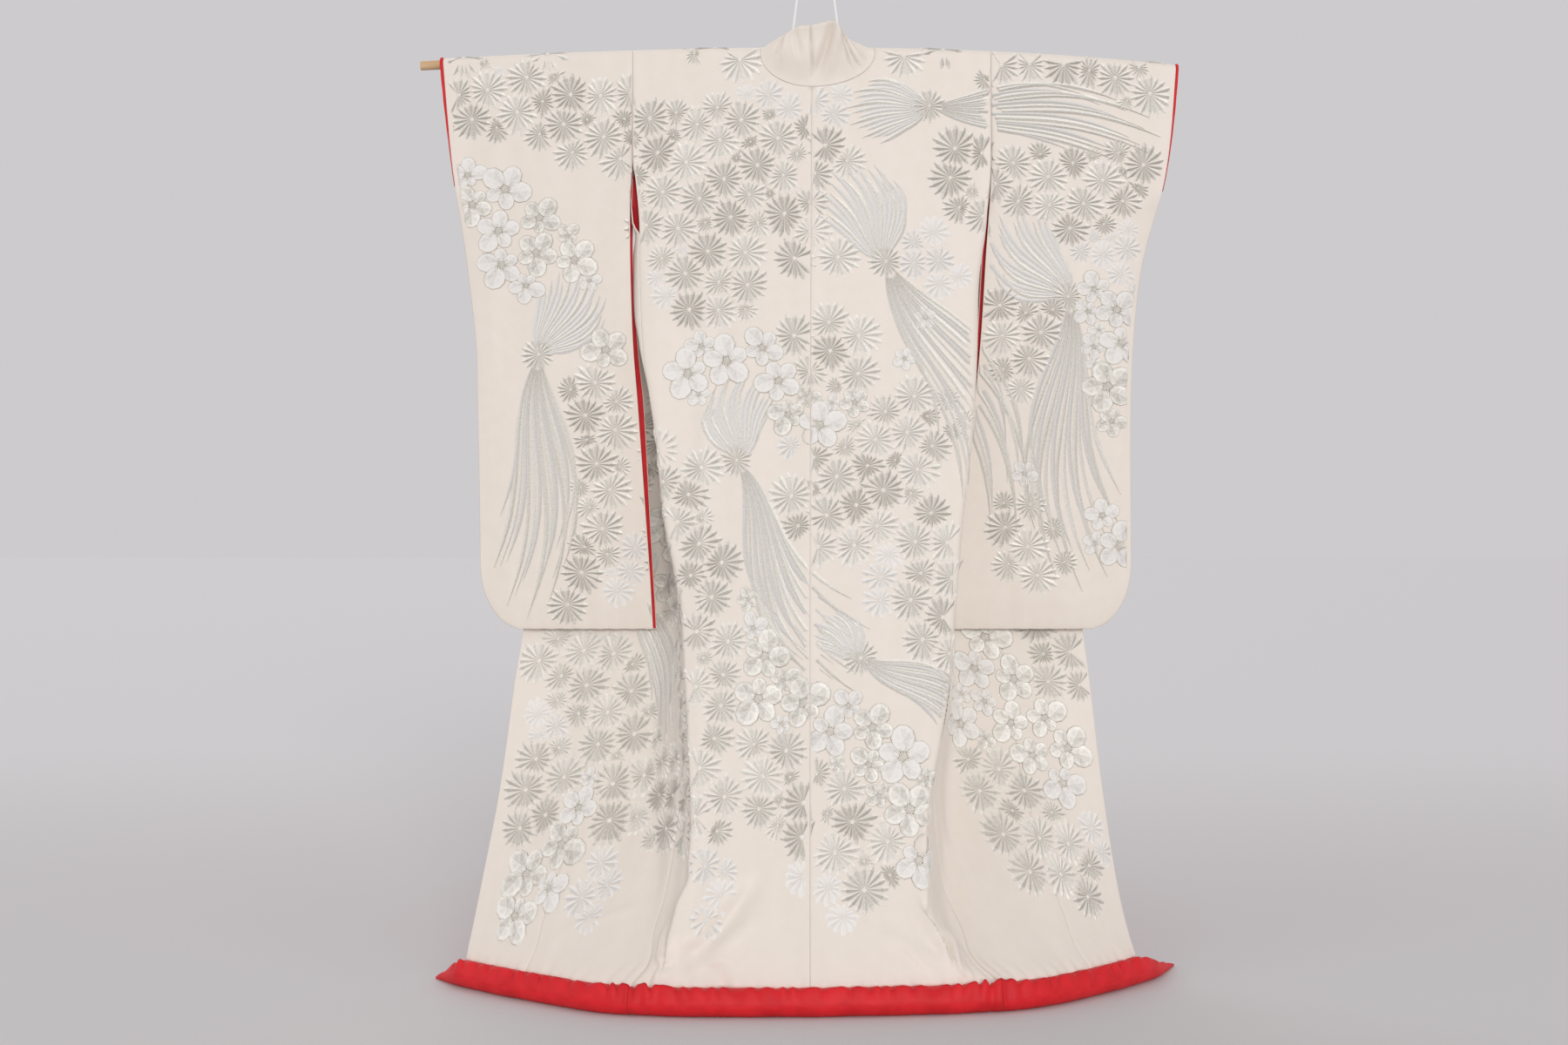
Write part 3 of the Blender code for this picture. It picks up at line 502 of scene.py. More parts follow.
def corner_run(corners, radius, s):
    """Points at distance s along lines through the corners, with each corner rounded over the radius."""
    total = 0.0
    samples, weights = np.linspace(-1, 1, 9), np.array([0.4, 0.8, 1, 1.1, 1.2, 1.1, 1, 0.8, 0.4])
    for sample, weight in zip(samples, weights / weights.sum()):
        at = s + sample * radius
        point = corners[0]
        start = np.zeros_like(s)
        for n, (first, second) in enumerate(zip(corners, corners[1:])):
            leg = second - first
            length = np.linalg.norm(leg, axis=-1)
            run = np.clip(at - start, None if n == 0 else 0, None if n == len(corners) - 2 else length)
            point = point + leg * (run / length)[..., None]
            start = start + length
        total = total + weight * point
    return total


# How far the back's edge hangs behind its middle at the top, as a share of the middle's way forward, the
# least room inside a side fold, the depth of the turn behind it up high and what the spread takes from that,
# and the places past the turn at which a front is laid.
EDGE_SAG = 0.35
FOLD_ROOM = 0.0165
TURN_ROOM = 0.016
TURN_NARROWING = 0.012
FRONT_REACHES = (0.10, 0.18, 0.26, 0.34)


def section_corners(side, level):
    """Corners of the level section of one half, in distance out and depth, from the centre back outwards."""
    table = SECTIONS[side]
    edge = smooth_row(table, "edge", level)
    far_edge = edge + smooth_row(table, "wrap", level)
    turn = smooth_row(table, "turn", level)
    low, hem = spread(level), floor_share(level)
    centre_depth = back_depth(level)
    top_sag = EDGE_SAG * (centre_depth - OVER_POLE) * ease(level, 1.0, 1.5)
    hem_share = (centre_depth - OVER_POLE) / (hem_depth(side, 0.0) - OVER_POLE)
    edge_depth = centre_depth - top_sag - (hem_depth(side, 0.0) - hem_depth(side, edge)) * hem_share
    rear = front_depth(side, turn, level)
    opened = (0.45 * edge_depth + 0.55 * rear) * low
    far_depth = np.maximum(-OVER_POLE * (1 - low) + opened, rear + FOLD_ROOM)
    far_depth = far_depth + (hem_depth(side, far_edge) - far_depth) * hem
    near_turn = rear + (TURN_ROOM - TURN_NARROWING * low) * (1 - hem)
    # The centre back, the back's edge, the far side of its fold, the turn behind it, and along the front.
    ways = [(0.0 * edge, centre_depth), (edge, edge_depth), (far_edge, far_depth)]
    ways += [(turn, near_turn), (turn + 0.0005 + 0.004 * low, rear)]
    ways += [(turn + reach, front_depth(side, turn + reach, level)) for reach in FRONT_REACHES]
    return [np.stack(np.broadcast_arrays(out, depth), axis=-1) for out, depth in ways]


def corner_place(corners, number):
    """Distance along the section at which a corner lies."""
    return sum(np.linalg.norm(b - a, axis=-1) for a, b in zip(corners[:number], corners[1 : number + 1]))


def front_stretch(side, level):
    """How much the hang and the gathers spread or narrow the fronts, below the sleeves."""
    corners = section_corners(side, level)
    target = smooth_row(SECTIONS[side], "front", level)
    reach = corner_place(corners, 4)
    for inner, outer in zip(corners[4:], corners[5:]):
        share = (target - inner[..., 0]) / (outer[..., 0] - inner[..., 0])
        share = np.clip(share, 0, None if outer is corners[-1] else 1)
        reach = reach + share * np.linalg.norm(outer - inner, axis=-1)
    stretch = (reach - back_width(side, level)) / (FRONT_WIDTH + OKUMI_WIDTH)
    return 1 + (stretch - 1) * ease(level, 0.85, 0.62)


# Radii that round the section's corners: at the back's edge beside the sleeve, what it gains below, at the
# turn behind, and what the spread adds and the hem takes away. Past TURN_PLACE the corner is the turn.
EDGE_ROUNDING = 0.003
LOW_ROUNDING = 0.009
TURN_ROUNDING = 0.011
SPREAD_ROUNDING = 0.010
HEM_SHARPENING = 0.008
TURN_PLACE = 0.44


def body_section(side, level, s):
    """x and depth at distance s from the centre back seam, along the level section of one half."""
    low = spread(level)
    at_edge = (EDGE_ROUNDING + LOW_ROUNDING * ease(level, 1.46, 1.2)) * ease(level, 1.52, 1.44)
    at_turn = TURN_ROUNDING * ease(level, POLE_HEIGHT, 1.62)
    radius = np.where(s < TURN_PLACE, at_edge, at_turn)
    radius = radius + SPREAD_ROUNDING * low - HEM_SHARPENING * floor_share(level)
    past = np.maximum(s - back_width(side, level), 0)
    place = s + past * (front_stretch(side, level) - 1)
    run = corner_run(section_corners(side, level), radius, place)
    drift = CENTRE_DRIFT * np.clip((POLE_HEIGHT - level) / POLE_HEIGHT, 0, 1)
    return SIDES[side] * run[..., 0] - drift * ease(run[..., 0], 0.18, 0.0), run[..., 1]


def back_width(side, level):
    """Distance from the centre back seam to the side seam, or to the free edge above it."""
    edge = smooth_row(SECTIONS[side], "edge", level)
    narrowing = (SIDE_SEAM_HALF - HIP_HALF) * ease(level, SIDE_SEAM_HEIGHT, HIP_HEIGHT)
    return np.where(level >= SIDE_SEAM_HEIGHT, edge, SIDE_SEAM_HALF - narrowing)


def front_start(side, level):
    """Where the front half begins along the section: it parts from the back over the side opening."""
    opening = corner_place(section_corners(side, level), 2) - back_width(side, level)
    opening = opening * ease(level, SIDE_SEAM_HEIGHT, ARMHOLE_HEIGHT)
    return back_width(side, level) + np.maximum(opening, SEAM_GAP)


def okumi_width(level):
    """The overlap panel widens from its tip, beside the collar, to its full width."""
    share = np.clip((OKUMI_TIP_HEIGHT - level) / (OKUMI_TIP_HEIGHT - COLLAR_END_HEIGHT), 0, 1)
    return OKUMI_WIDTH * share


def front_width(side, level):
    """The front half runs from its side seam to the neck at the top, and is wider below."""
    neck = SHOULDER_HALF - NECK_HALF[side]
    return neck + (FRONT_WIDTH - neck) * ease(level, 1.6, 1.3)


# The foot of the trough over the hem, by x and level, its way, its half width and its depth.
TROUGH_FOOT = (-0.215, 0.10)
TROUGH_WAY = (0.76, -0.65)
TROUGH_WIDTH = 0.022
TROUGH_DEPTH = 0.010


def hem_trough(side, x, level):
    """Soft slanting trough over the hem, from the foot of the left fold towards the centre."""
    if side == "right":
        return 0.0 * x
    out, down = TROUGH_FOOT[0] - x, TROUGH_FOOT[1] - level
    along = out * TROUGH_WAY[0] + down * TROUGH_WAY[1]
    across = out * -TROUGH_WAY[1] + down * TROUGH_WAY[0]
    run = ease(along, -0.16, -0.04) * ease(along, 0.02, -0.02)
    return -TROUGH_DEPTH * run * np.exp(-((across / TROUGH_WIDTH) ** 2))


def hanging(side, s, level):
    """Point of one half of the body at distance s along its section, at a level."""
    x, depth = body_section(side, level, s)
    return to_frame(x, depth + hem_trough(side, x, level), hang_height(x, level))


def over_pole(side, s, level, first, last):
    """The hanging body, with the levels above the pole's axis laid over the pole between two angles."""
    below = hanging(side, s, np.minimum(level, POLE_HEIGHT))
    turn = np.clip((level - POLE_HEIGHT) / (OVER_POLE * math.pi / 2), 0, 1)
    angle = math.radians(first) + math.radians(last - first) * turn
    x = below[..., 0] + LOOP_OUT
    lap = to_frame(x, OVER_POLE * np.cos(angle), pole_axis(x) + OVER_POLE * np.sin(angle))
    return np.where((level > POLE_HEIGHT)[..., None], lap, below)


def neck_half(side, level):
    """Half width of the neck opening in the back, an arc that dips below the pole."""
    drop = np.clip((POLE_HEIGHT - level) / NECK_DEPTH, 0, 1)
    return NECK_HALF[side] * np.sqrt(1 - drop**2)


def creases(table, u, v):
    """Rise of a table's soft ridges and troughs at places u, v of the cloth. Each fades at both its ends."""
    total = 0.0 * (u + v)
    for start_u, start_v, end_u, end_v, width, rise in table:
        length = math.hypot(end_u - start_u, end_v - start_v)
        du, dv = (end_u - start_u) / length, (end_v - start_v) / length
        along = (u - start_u) * du + (v - start_v) * dv
        across = (u - start_u) * dv - (v - start_v) * du
        reach = length * 0.35
        fade = ease(along, -reach, reach) * ease(along, length + reach, length - reach)
        total = total + rise * fade * np.exp(-((across / width) ** 2))
    return total


def grid_normals(points, sign):
    """Unit normals of a grid of points, by differences."""
    return unit(np.cross(np.gradient(points, axis=1), np.gradient(points, axis=0)) * sign)


def lifted(points, sign, rise):
    """A grid of points lifted off its own surface."""
    return points + grid_normals(points, sign) * rise[..., None]


def cloth_shell(
    name, points, u, v, sign, looks, seams=(), thickness=CLOTH_THICKNESS, free=(False, False), hem=0
):
    """A thin closed shell on a grid of points, with a lining. It dips along seams, given as distances over
    the grid. The satin is turned in over the lining at the free rows of the first and last columns."""
    normal = grid_normals(points, sign)
    dip = sum(SEAM_DIP * np.exp(-((np.abs(distance) / SEAM_REACH) ** 2)) for distance in seams)
    outer = points + normal * (thickness / 2 - dip + 0 * u)[..., None]
    inner = points - normal * thickness / 2
    rows, columns = u.shape
    count = rows * columns
    index = np.arange(count).reshape(rows, columns)
    quads = np.stack([index[:-1, :-1], index[:-1, 1:], index[1:, 1:], index[1:, :-1]], axis=-1).reshape(-1, 4)
    rim = np.concatenate([index[:-1, 0], index[-1, :-1], index[:0:-1, -1], index[0, :0:-1]])
    after = np.roll(rim, -1)
    edge = np.stack([rim, after, after + count, rim + count], axis=-1)
    faces = np.concatenate([quads, quads[:, ::-1] + count, edge])
    if sign < 0:
        faces = faces[:, ::-1]
    places = np.stack([u, v], axis=-1).reshape(-1, 2)[faces % count]
    lining = np.ones((rows - 1, columns - 1))
    lining[:, 0], lining[:, -1] = (1 - np.asarray(edge_free) for edge_free in free)
    beside, below = np.zeros(rows - 1), np.full(columns - 1, hem)
    numbers = np.concatenate([np.zeros(len(quads)), lining.ravel(), beside, below, beside, below])
    points = np.concatenate([outer.reshape(-1, 3), inner.reshape(-1, 3)])
    return mesh_piece(name, points, faces, places, looks, numbers)


def satin_look():
    """Ivory satin: a fine warp-faced weave, faint lengthwise wrinkles with painted shade on them, and a soft
    nap.
    """
    look, wire, shader = new_look(
        "ivory_satin_cloth", 0.46, Sheen_Weight=0.22, Sheen_Roughness=0.45, Specular_IOR_Level=0.35
    )
    uv = wire.surface()
    weave = uv.stretch((2600, 700, 1)).noise(1.0, 1.0)
    bands = uv.stretch((26, 2.2, 1)).noise(1.0, 3.0)
    crinkle = uv.noise(38.0, 3.0, Roughness=0.55)
    # Painted shade: the colour is lighter on the crests and darker in the hollows of the same faint
    # lengthwise bands and crinkle that the bump raises.
    tone = (bands * 0.5 + crinkle * 0.5).between(0.25, 0.75)
    wire.put(shader.inputs["Base Color"], tone.blend((0.770, 0.695, 0.615, 1), (0.800, 0.730, 0.655, 1)))
    wire.put(shader.inputs["Roughness"], weave * 0.16 + 0.38)
    small = weave.bump(0.35, 0.0002)
    wire.put(shader.inputs["Normal"], (bands * 0.6 + crinkle * 0.4).bump(0.3, 0.0035, Normal=small))
    return look


def red_silk_look():
    """Red silk lining with a fine crepe surface."""
    look, wire, shader = new_look("red_silk_crepe", 0.6, Sheen_Weight=0.05, Specular_IOR_Level=0.25)
    shader.inputs["Sheen Tint"].default_value = (1.0, 0.3, 0.3, 1)
    uv = wire.surface()
    crepe = uv.stretch((900, 1500, 1)).noise(1.0, 2.0)
    soft = uv.noise(24.0, 3.0)
    red = soft.between(0.3, 0.7).blend((0.58, 0.011, 0.016, 1), (0.70, 0.017, 0.024, 1))
    wire.put(shader.inputs["Base Color"], red)
    wire.put(shader.inputs["Roughness"], crepe * 0.15 + 0.48)
    wire.put(shader.inputs["Normal"], crepe.bump(0.4, 0.0003))
    return look


satin = satin_look()
red_silk = red_silk_look()

# Soft ridges (+) and troughs (-) of the hanging body, by distance from the centre back seam and level.
BODY_CREASES = {
    "left": (
        (0.190, 1.10, 0.200, 0.42, 0.018, 0.0045),
        (0.120, 0.95, 0.100, 0.30, 0.030, 0.0035),
        (0.060, 0.70, 0.030, 0.18, 0.022, -0.0050),
        (0.150, 0.36, 0.205, 0.14, 0.014, -0.0035),
        (0.085, 0.150, 0.200, 0.075, 0.012, 0.0035),
        (0.300, 0.55, 0.310, 0.15, 0.018, 0.0030),
        (0.400, 0.60, 0.440, 0.12, 0.022, -0.0035),
        (0.480, 0.42, 0.500, 0.10, 0.018, 0.0030),
        (0.390, 1.30, 0.420, 0.70, 0.020, 0.0030),
        (0.350, 0.145, 0.470, 0.110, 0.008, 0.0020),
        # the sharp fold beside the left side seam, its valley and the trough that runs down into it
        (0.232, 0.62, 0.216, 0.46, 0.007, 0.0035),
        (0.216, 0.46, 0.206, 0.28, 0.006, 0.0050),
        (0.206, 0.28, 0.222, 0.12, 0.006, 0.0045),
        (0.250, 0.62, 0.238, 0.18, 0.011, -0.0070),
        (0.100, 0.190, 0.200, 0.080, 0.017, -0.0125),
        (0.228, 0.105, 0.246, 0.066, 0.009, -0.0050),
        (0.150, 0.085, 0.215, 0.062, 0.006, 0.0026),
        (0.262, 0.130, 0.280, 0.060, 0.007, 0.0032),
        (0.218, 0.200, 0.250, 0.083, 0.0060, -0.0080),
        (0.206, 0.200, 0.238, 0.083, 0.0060, 0.0070),
        (0.232, 0.076, 0.274, 0.073, 0.0050, -0.0065),
        (0.240, 0.088, 0.268, 0.085, 0.0050, 0.0040),
    ),
    "right": (
        (0.210, 1.05, 0.200, 0.50, 0.020, 0.0030),
        (0.110, 1.00, 0.090, 0.42, 0.028, 0.0032),
        (0.050, 0.62, 0.075, 0.16, 0.024, -0.0028),
        (0.165, 0.42, 0.200, 0.17, 0.016, -0.0035),
        (0.120, 0.120, 0.190, 0.085, 0.010, 0.0028),
        (0.195, 0.100, 0.258, 0.066, 0.009, -0.0050),
        (0.212, 0.122, 0.285, 0.078, 0.008, 0.0036),
        (0.330, 0.50, 0.345, 0.16, 0.016, 0.0032),
        (0.430, 0.48, 0.455, 0.12, 0.022, -0.0032),
        (0.400, 1.25, 0.410, 0.75, 0.018, 0.0028),
        # the fold beside the right side seam and the tuck at its foot
        (0.236, 0.50, 0.192, 0.32, 0.007, 0.0035),
        (0.192, 0.32, 0.186, 0.14, 0.006, 0.0045),
        (0.186, 0.14, 0.215, 0.085, 0.008, 0.0030),
        (0.232, 0.130, 0.236, 0.062, 0.006, 0.0035),
        (0.150, 0.098, 0.196, 0.058, 0.006, 0.0028),
        (0.183, 0.160, 0.228, 0.084, 0.0060, -0.0080),
        (0.171, 0.155, 0.216, 0.080, 0.0060, 0.0070),
        (0.228, 0.112, 0.246, 0.050, 0.0060, 0.0060),
    ),
}

# How far the lip of the tuck at each fold's foot is drawn outwards over its valley.
BODY_LIPS = {
    "left": ((0.206, 0.190, 0.238, 0.083, 0.0060, 0.0115),),
    "right": ((0.171, 0.150, 0.216, 0.080, 0.0060, 0.0100),),
}


GENTLE_WAVE = 0.0012
PUCKER_PHASE = {"left": 0.7, "right": 2.1}
PUCKER_RISE = 0.0016
GATHERED_RISE = 0.0032
PUCKER_REACH = 0.012
GATHERED_REACH = 0.030


def hem_puckers(side, s, level):
    """Small uneven puckers where the cloth is sewn to the padded hem, deeper at the gathered side seams."""
    phase = PUCKER_PHASE[side]
    waves = np.sin(s * 245 + phase) * 0.6 + np.sin(s * 151 + 2 * phase) * 0.4
    near = np.exp(-(((s - 0.292) / 0.035) ** 2))
    reach = PUCKER_REACH + GATHERED_REACH * near
    return waves * (PUCKER_RISE + GATHERED_RISE * near) * np.exp(-((level - HEM_HEIGHT) / reach) ** 2)


def body_rise(side, s, level):
    """How far the creases lift the cloth off its plain hang."""
    gentle = GENTLE_WAVE * np.sin(s * 38 + level * 3.1) * ease(level, 1.5, 1.1) * ease(level, 0.05, 0.25)
    folds = creases(BODY_CREASES[side], s, level) * ease(level, HEM_HEIGHT, 0.085)
    return folds + gentle + hem_puckers(side, s, level)


def seam_shares(count, width):
    """Shares from 0 to 1 across a piece, with close columns beside both its seams."""
    beside = np.array((0, 0.0011, 0.0022, 0.0040)) / width
    middle = np.linspace(beside[-1], 1 - beside[-1], count)
    return np.concatenate([beside[:-1], middle, (1 - beside[:-1])[::-1]])


# Columns of each cloth's grid, and the width that the close ones beside the seams are set out for.
BODY_COLUMNS = (84, 0.31)
OKUMI_COLUMNS = (24, 0.15)
SLEEVE_COLUMNS = (44, 0.31)
# Levels of the cloth's grid, closer together towards the hem, and laid over the pole at the top.
HEM_LEVELS = np.array((HEM_HEIGHT - 0.004, *np.arange(HEM_HEIGHT + 0.003, 0.15, 0.004)))
LOW_LEVELS = np.arange(0.153, 0.32, 0.0065)
HIGH_LEVELS = np.arange(0.32, 1.585, CLOTH_STEP)
NAPE_TURNS = np.radians((0, 4, 8, 13, 19, 26, 33, 40, 48, 56, 64, 73, 82))
NAPE_LEVELS = POLE_HEIGHT - (NECK_DEPTH - 1e-5) * np.cos(NAPE_TURNS)
POLE_LEVELS = POLE_HEIGHT + OVER_POLE * np.radians((0, 15, 30, 45, 60, 75, 90))
BACK_LEVELS = np.concatenate([HEM_LEVELS, LOW_LEVELS, HIGH_LEVELS, NAPE_LEVELS, POLE_LEVELS])
FRONT_TOP_LEVELS = np.arange(1.650, 1.585, -CLOTH_STEP)
# How far the front's edge swings out below each armhole, so that its lining shows beside the sleeve.
FRONT_SWING = {"left": 0.010, "right": 0.0}
FRONT_LEVELS = np.concatenate([
    POLE_LEVELS[-2::-1], FRONT_TOP_LEVELS, HIGH_LEVELS[::-1], LOW_LEVELS[::-1], HEM_LEVELS[::-1],
])


def body_cloth(side):
    """One half of the body, from the back's hem over the pole to the front's hem."""
    shares = seam_shares(*BODY_COLUMNS)
    level = BACK_LEVELS
    start = np.where(level < NAPE_LEVELS[0], SEAM_GAP / 2, neck_half(side, level))
    start = np.maximum(start, SEAM_GAP / 2)
    end = back_width(side, level) - np.where(level >= SIDE_SEAM_HEIGHT, SEAM_GAP / 2, 0)
    back_s = start[:, None] + (end - start)[:, None] * shares
    back_v = level[:, None] + 0 * back_s
    back = over_pole(side, back_s, back_v, 0, 90)
    level = FRONT_LEVELS
    start = front_start(side, level) + np.where(level >= SIDE_SEAM_HEIGHT, SEAM_GAP / 2, 0)
    end = front_start(side, level) + front_width(side, level) - SEAM_GAP / 2
    front_s = end[:, None] + (start - end)[:, None] * shares
    front_v = level[:, None] + 0 * front_s
    front = over_pole(side, front_s, front_v, 180, 90)
    swing = FRONT_SWING[side] * ease(front_v, 1.322, 1.345) * ease(front_v, 1.460, 1.40)
    front[..., 0] += SIDES[side] * swing * np.exp(-(((front_s - front_s[:, -1:]) / 0.03) ** 2))
    points = np.concatenate([back, front])
    s, v = np.concatenate([back_s, front_s]), np.concatenate([back_v, front_v])
    sign = SIDES[side]
    points = lifted(points, sign, body_rise(side, s, v))
    points[: len(BACK_LEVELS), :, 0] += sign * creases(BODY_LIPS[side], back_s, back_v)
    inner = np.concatenate([back_s - back_s[:, :1], front_s[:, :1] - front_s])
    outer = np.concatenate([back_s[:, -1:] - back_s, front_s - front_s[:, -1:]])
    length = np.concatenate([back_v, 2 * POLE_HEIGHT + OVER_POLE * math.pi - front_v])
    hangs = (v[:-1, 0] > SIDE_SEAM_HEIGHT) & (v[:-1, 0] < ARMHOLE_HEIGHT)
    made = cloth_shell(
        f"body_cloth_{side}", points, s, length, sign, [satin, red_silk],
        (inner, outer), free=(False, hangs), hem=1,
    )
    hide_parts(f"back_{side}", f"front_{side}")


for side in SIDES:
    body_cloth(side)


# ---------------------------------------------------------------- overlap panels
# A half-width panel, the okumi, is sewn down each front edge. It starts as a point beside the collar and
# widens to its full width where the collar ends.

OKUMI_BLUNT = 0.01

for side in SIDES:
    level = FRONT_LEVELS[FRONT_LEVELS < OKUMI_TIP_HEIGHT - OKUMI_BLUNT - 0.002]
    level = np.concatenate([[OKUMI_TIP_HEIGHT - OKUMI_BLUNT], level])
    start = front_start(side, level) + front_width(side, level) + SEAM_GAP / 2
    end = start + okumi_width(level) - SEAM_GAP
    s = end[:, None] + (start - end)[:, None] * seam_shares(*OKUMI_COLUMNS)
    v = level[:, None] + 0 * s
    points = lifted(hanging(side, s, v), SIDES[side], body_rise(side, s, v))
    overlap = cloth_shell(
        f"overlap_cloth_{side}", points, s, 2 * POLE_HEIGHT - v, SIDES[side], [satin, red_silk],
        (s - s[:, -1:],), hem=1,
    )
    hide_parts(f"okumi_{side}")


# ---------------------------------------------------------------- collar
# A folded strip of plain satin sewn round the neck and down both front edges. At the nape it stands behind
# the pole, pulled up to a peak on the right by the cord's ties, and its fold is creased there.

COLLAR_WIDTH = 0.060
COLLAR_THICKNESS = 0.0022
COLLAR_WAVE = 0.003
COLLAR_BELLY = 0.005
COLLAR_PUCKER = 0.0009
COLLAR_DRAWN_IN = {"left": 0.0150, "right": 0.0050}
COLLAR_CREST = {
    "left": {
        "place": (0.00, 0.16, 0.30, 0.42, 0.52, 0.66, 0.80, 1.00),
        "out": (0.000, 0.028, 0.050, 0.066, 0.078, 0.074, 0.062, 0.0485),
        "depth": (0.026, 0.027, 0.024, 0.019, 0.013, 0.003, -0.006, -0.0108),
        "height": (1.7030, 1.6980, 1.6860, 1.6780, 1.6710, 1.6710, 1.6680, 1.6560),
    },
    "right": {
        "place": (0.00, 0.15, 0.22, 0.30, 0.42, 0.52, 0.66, 0.80, 1.00),
        "out": (0.000, 0.040, 0.051, 0.066, 0.081, 0.088, 0.086, 0.074, 0.0600),
        "depth": (0.026, 0.027, 0.026, 0.023, 0.018, 0.012, 0.002, -0.006, -0.0108),
        "height": (1.7030, 1.7090, 1.6990, 1.6800, 1.6720, 1.6700, 1.6710, 1.6680, 1.6560),
    },
}
# Creases of the standing collar, by the way round from the nape, with left negative, and across it.
COLLAR_CREASES = (
    (0.01, 0.25, -0.03, 1.00, 0.014, -0.0075),
    (0.07, 0.25, 0.28, 1.00, 0.050, -0.0130),
    (0.22, 0.30, 0.36, 1.00, 0.040, 0.0030),
    (0.455, 0.30, 0.47, 0.95, 0.018, -0.0075),
    (0.34, 0.60, 0.42, 1.00, 0.040, 0.0060),
    (0.58, 0.20, 0.50, 0.95, 0.024, -0.0065),
    (-0.20, 0.55, -0.36, 1.00, 0.055, -0.0034),
    (-0.46, 0.35, -0.55, 1.00, 0.040, 0.0034),
    (-0.66, 0.30, -0.60, 0.95, 0.036, -0.0036),
    (0.74, 0.40, 0.70, 1.00, 0.028, 0.0034),
)


def collar_half(side, width, run):
    """Half the collar: run 0 to 1 round the nape, 1 to 2 over the pole and 2 to 3 down the front."""
    sign, half, crest = SIDES[side], NECK_HALF[side], COLLAR_CREST[side]
    angle = np.clip(run, 0, 1) * math.pi / 2
    nape_level = POLE_HEIGHT - (NECK_DEPTH - SEAM_GAP) * np.cos(angle)
    nape = over_pole(side, (half - SEAM_GAP) * np.sin(angle), nape_level, 0, 90)
    lap_angle = np.clip(run - 1, 0, 1) * math.pi
    x = sign * (half - SEAM_GAP) + 0 * run
    lap = to_frame(x, OVER_POLE * np.cos(lap_angle), pole_axis(x) + OVER_POLE * np.sin(lap_angle))
    seam = np.where((run <= 1)[..., None], nape, lap)
    place = np.clip(run, 0, 2) / 2
    out, depth, height = (smooth_row(crest, column, place) for column in ("out", "depth", "height"))
    free = to_frame(sign * out, depth, height)
    rising = np.stack(np.broadcast_arrays(0.0, -np.cos(lap_angle), np.sin(lap_angle)), axis=-1)
    lift = ((free - seam) * rising).sum(axis=-1)
    upper = seam + (free - seam) * width[..., None] + rising * (lift * (width**2 - width))[..., None]
    fold = COLLAR_WAVE * np.sin(run * 7.0) * width**2 * ease(run, 1.0, 0.5) * ease(run, 0.0, 0.2)
    upper[..., 1] -= fold + COLLAR_BELLY * np.sin(width * math.pi) ** 2 * ease(run, 1.0, 0.4)
    fall = np.clip(run - 2, 0, 1)
    level = POLE_HEIGHT - (POLE_HEIGHT - COLLAR_END_HEIGHT) * fall
    edge = front_start(side, level) + front_width(side, level) + okumi_width(level)
    strip = COLLAR_WIDTH - COLLAR_DRAWN_IN[side] * ease(fall, 0.05, 0.0)
    lower = over_pole(side, edge + SEAM_GAP / 2 + strip * width, level, 180, 90)
    share = ease(fall, 0.0, 0.05)[..., None]
    return np.where((run < 2)[..., None], upper, upper * (1 - share) + lower * share)


nape_runs = np.concatenate([np.linspace(0, 0.25, 12)[1:], np.linspace(0.25, 1, 30)[1:]])
half_runs = np.concatenate([
    nape_runs, np.linspace(1, 2, 22)[1:], 2 + np.linspace(0, 0.08, 14)[1:], np.linspace(2.08, 3, 84)[1:],
])
runs = np.concatenate([-half_runs[::-1], [0.0], half_runs])
width = np.tile(np.concatenate([[0, 0.02, 0.045], np.linspace(0.08, 1, 20)]), (len(runs), 1))
run = runs[:, None] + 0 * width
halves = collar_half("left", width, -run), collar_half("right", width, run)
collar_points = np.where((run < 0)[..., None], *halves)
collar_rise = creases(COLLAR_CREASES, run, width) * ease(np.abs(run), 1.3, 1.0) * ease(width, 0.03, 0.25)
collar_rise += COLLAR_PUCKER * np.sin(np.abs(run) * 31) * ease(np.abs(run), 2.05, 2.2)
collar_points = lifted(collar_points, -1, collar_rise)
along = np.linalg.norm(np.diff(collar_points[:, 0], axis=0), axis=1)
along = np.concatenate([[0], np.cumsum(along)])[:, None] + 0 * width
collar = cloth_shell(
    "collar_cloth", collar_points, width * COLLAR_WIDTH, along, 1, [satin, satin],
    (width * COLLAR_WIDTH,), COLLAR_THICKNESS,
)
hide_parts("collar")


# ---------------------------------------------------------------- sleeves
# Each sleeve is one width of lined satin folded over the pole, sewn together at the outer edge below the
# cuff opening and along the bottom, with a rounded outer corner. Its inner edge hangs open below the
# armhole, and the layer nearest the wall reaches a little further in, so that the red lining shows.

SLEEVES = {
    "left": {
        "height": (1.700, 1.459, 1.430, 1.400, 1.330, 1.275, 1.115, 1.019, 0.795, 0.690, 0.600),
        "inner": (0.3280, 0.3280, 0.3305, 0.3325, 0.3330, 0.3326, 0.3270, 0.3195, 0.3034, 0.2960, 0.2912),
        "outer": (0.6790, 0.6580, 0.6542, 0.6500, 0.6392, 0.6318, 0.6150, 0.6128, 0.6088, 0.6080, 0.6080),
        "overhang": (0.0000, 0.0000, 0.0015, 0.0025, 0.0045, 0.0045, 0.0080, 0.0105, 0.0070, 0.0058, 0.0062),
    },
    "right": {
        "height": (1.700, 1.459, 1.275, 1.115, 0.731, 0.600),
        "inner": (0.3280, 0.3280, 0.3180, 0.3080, 0.2680, 0.2620),
        "outer": (0.6700, 0.6480, 0.6050, 0.5890, 0.5860, 0.5860),
        "overhang": (0.0000, 0.0000, 0.0060, 0.0057, 0.0005, 0.0005),
    },
}
SLEEVE_BOTTOM = 0.600
SLEEVE_CORNER_WIDTH = 0.080
SLEEVE_CORNER_HEIGHT = 0.120
SLEEVE_BELLY = 0.0062
SLEEVE_CLOSING = 0.05
SLEEVE_PUCKER = 0.0006
CUFF_END_HEIGHT = 1.428
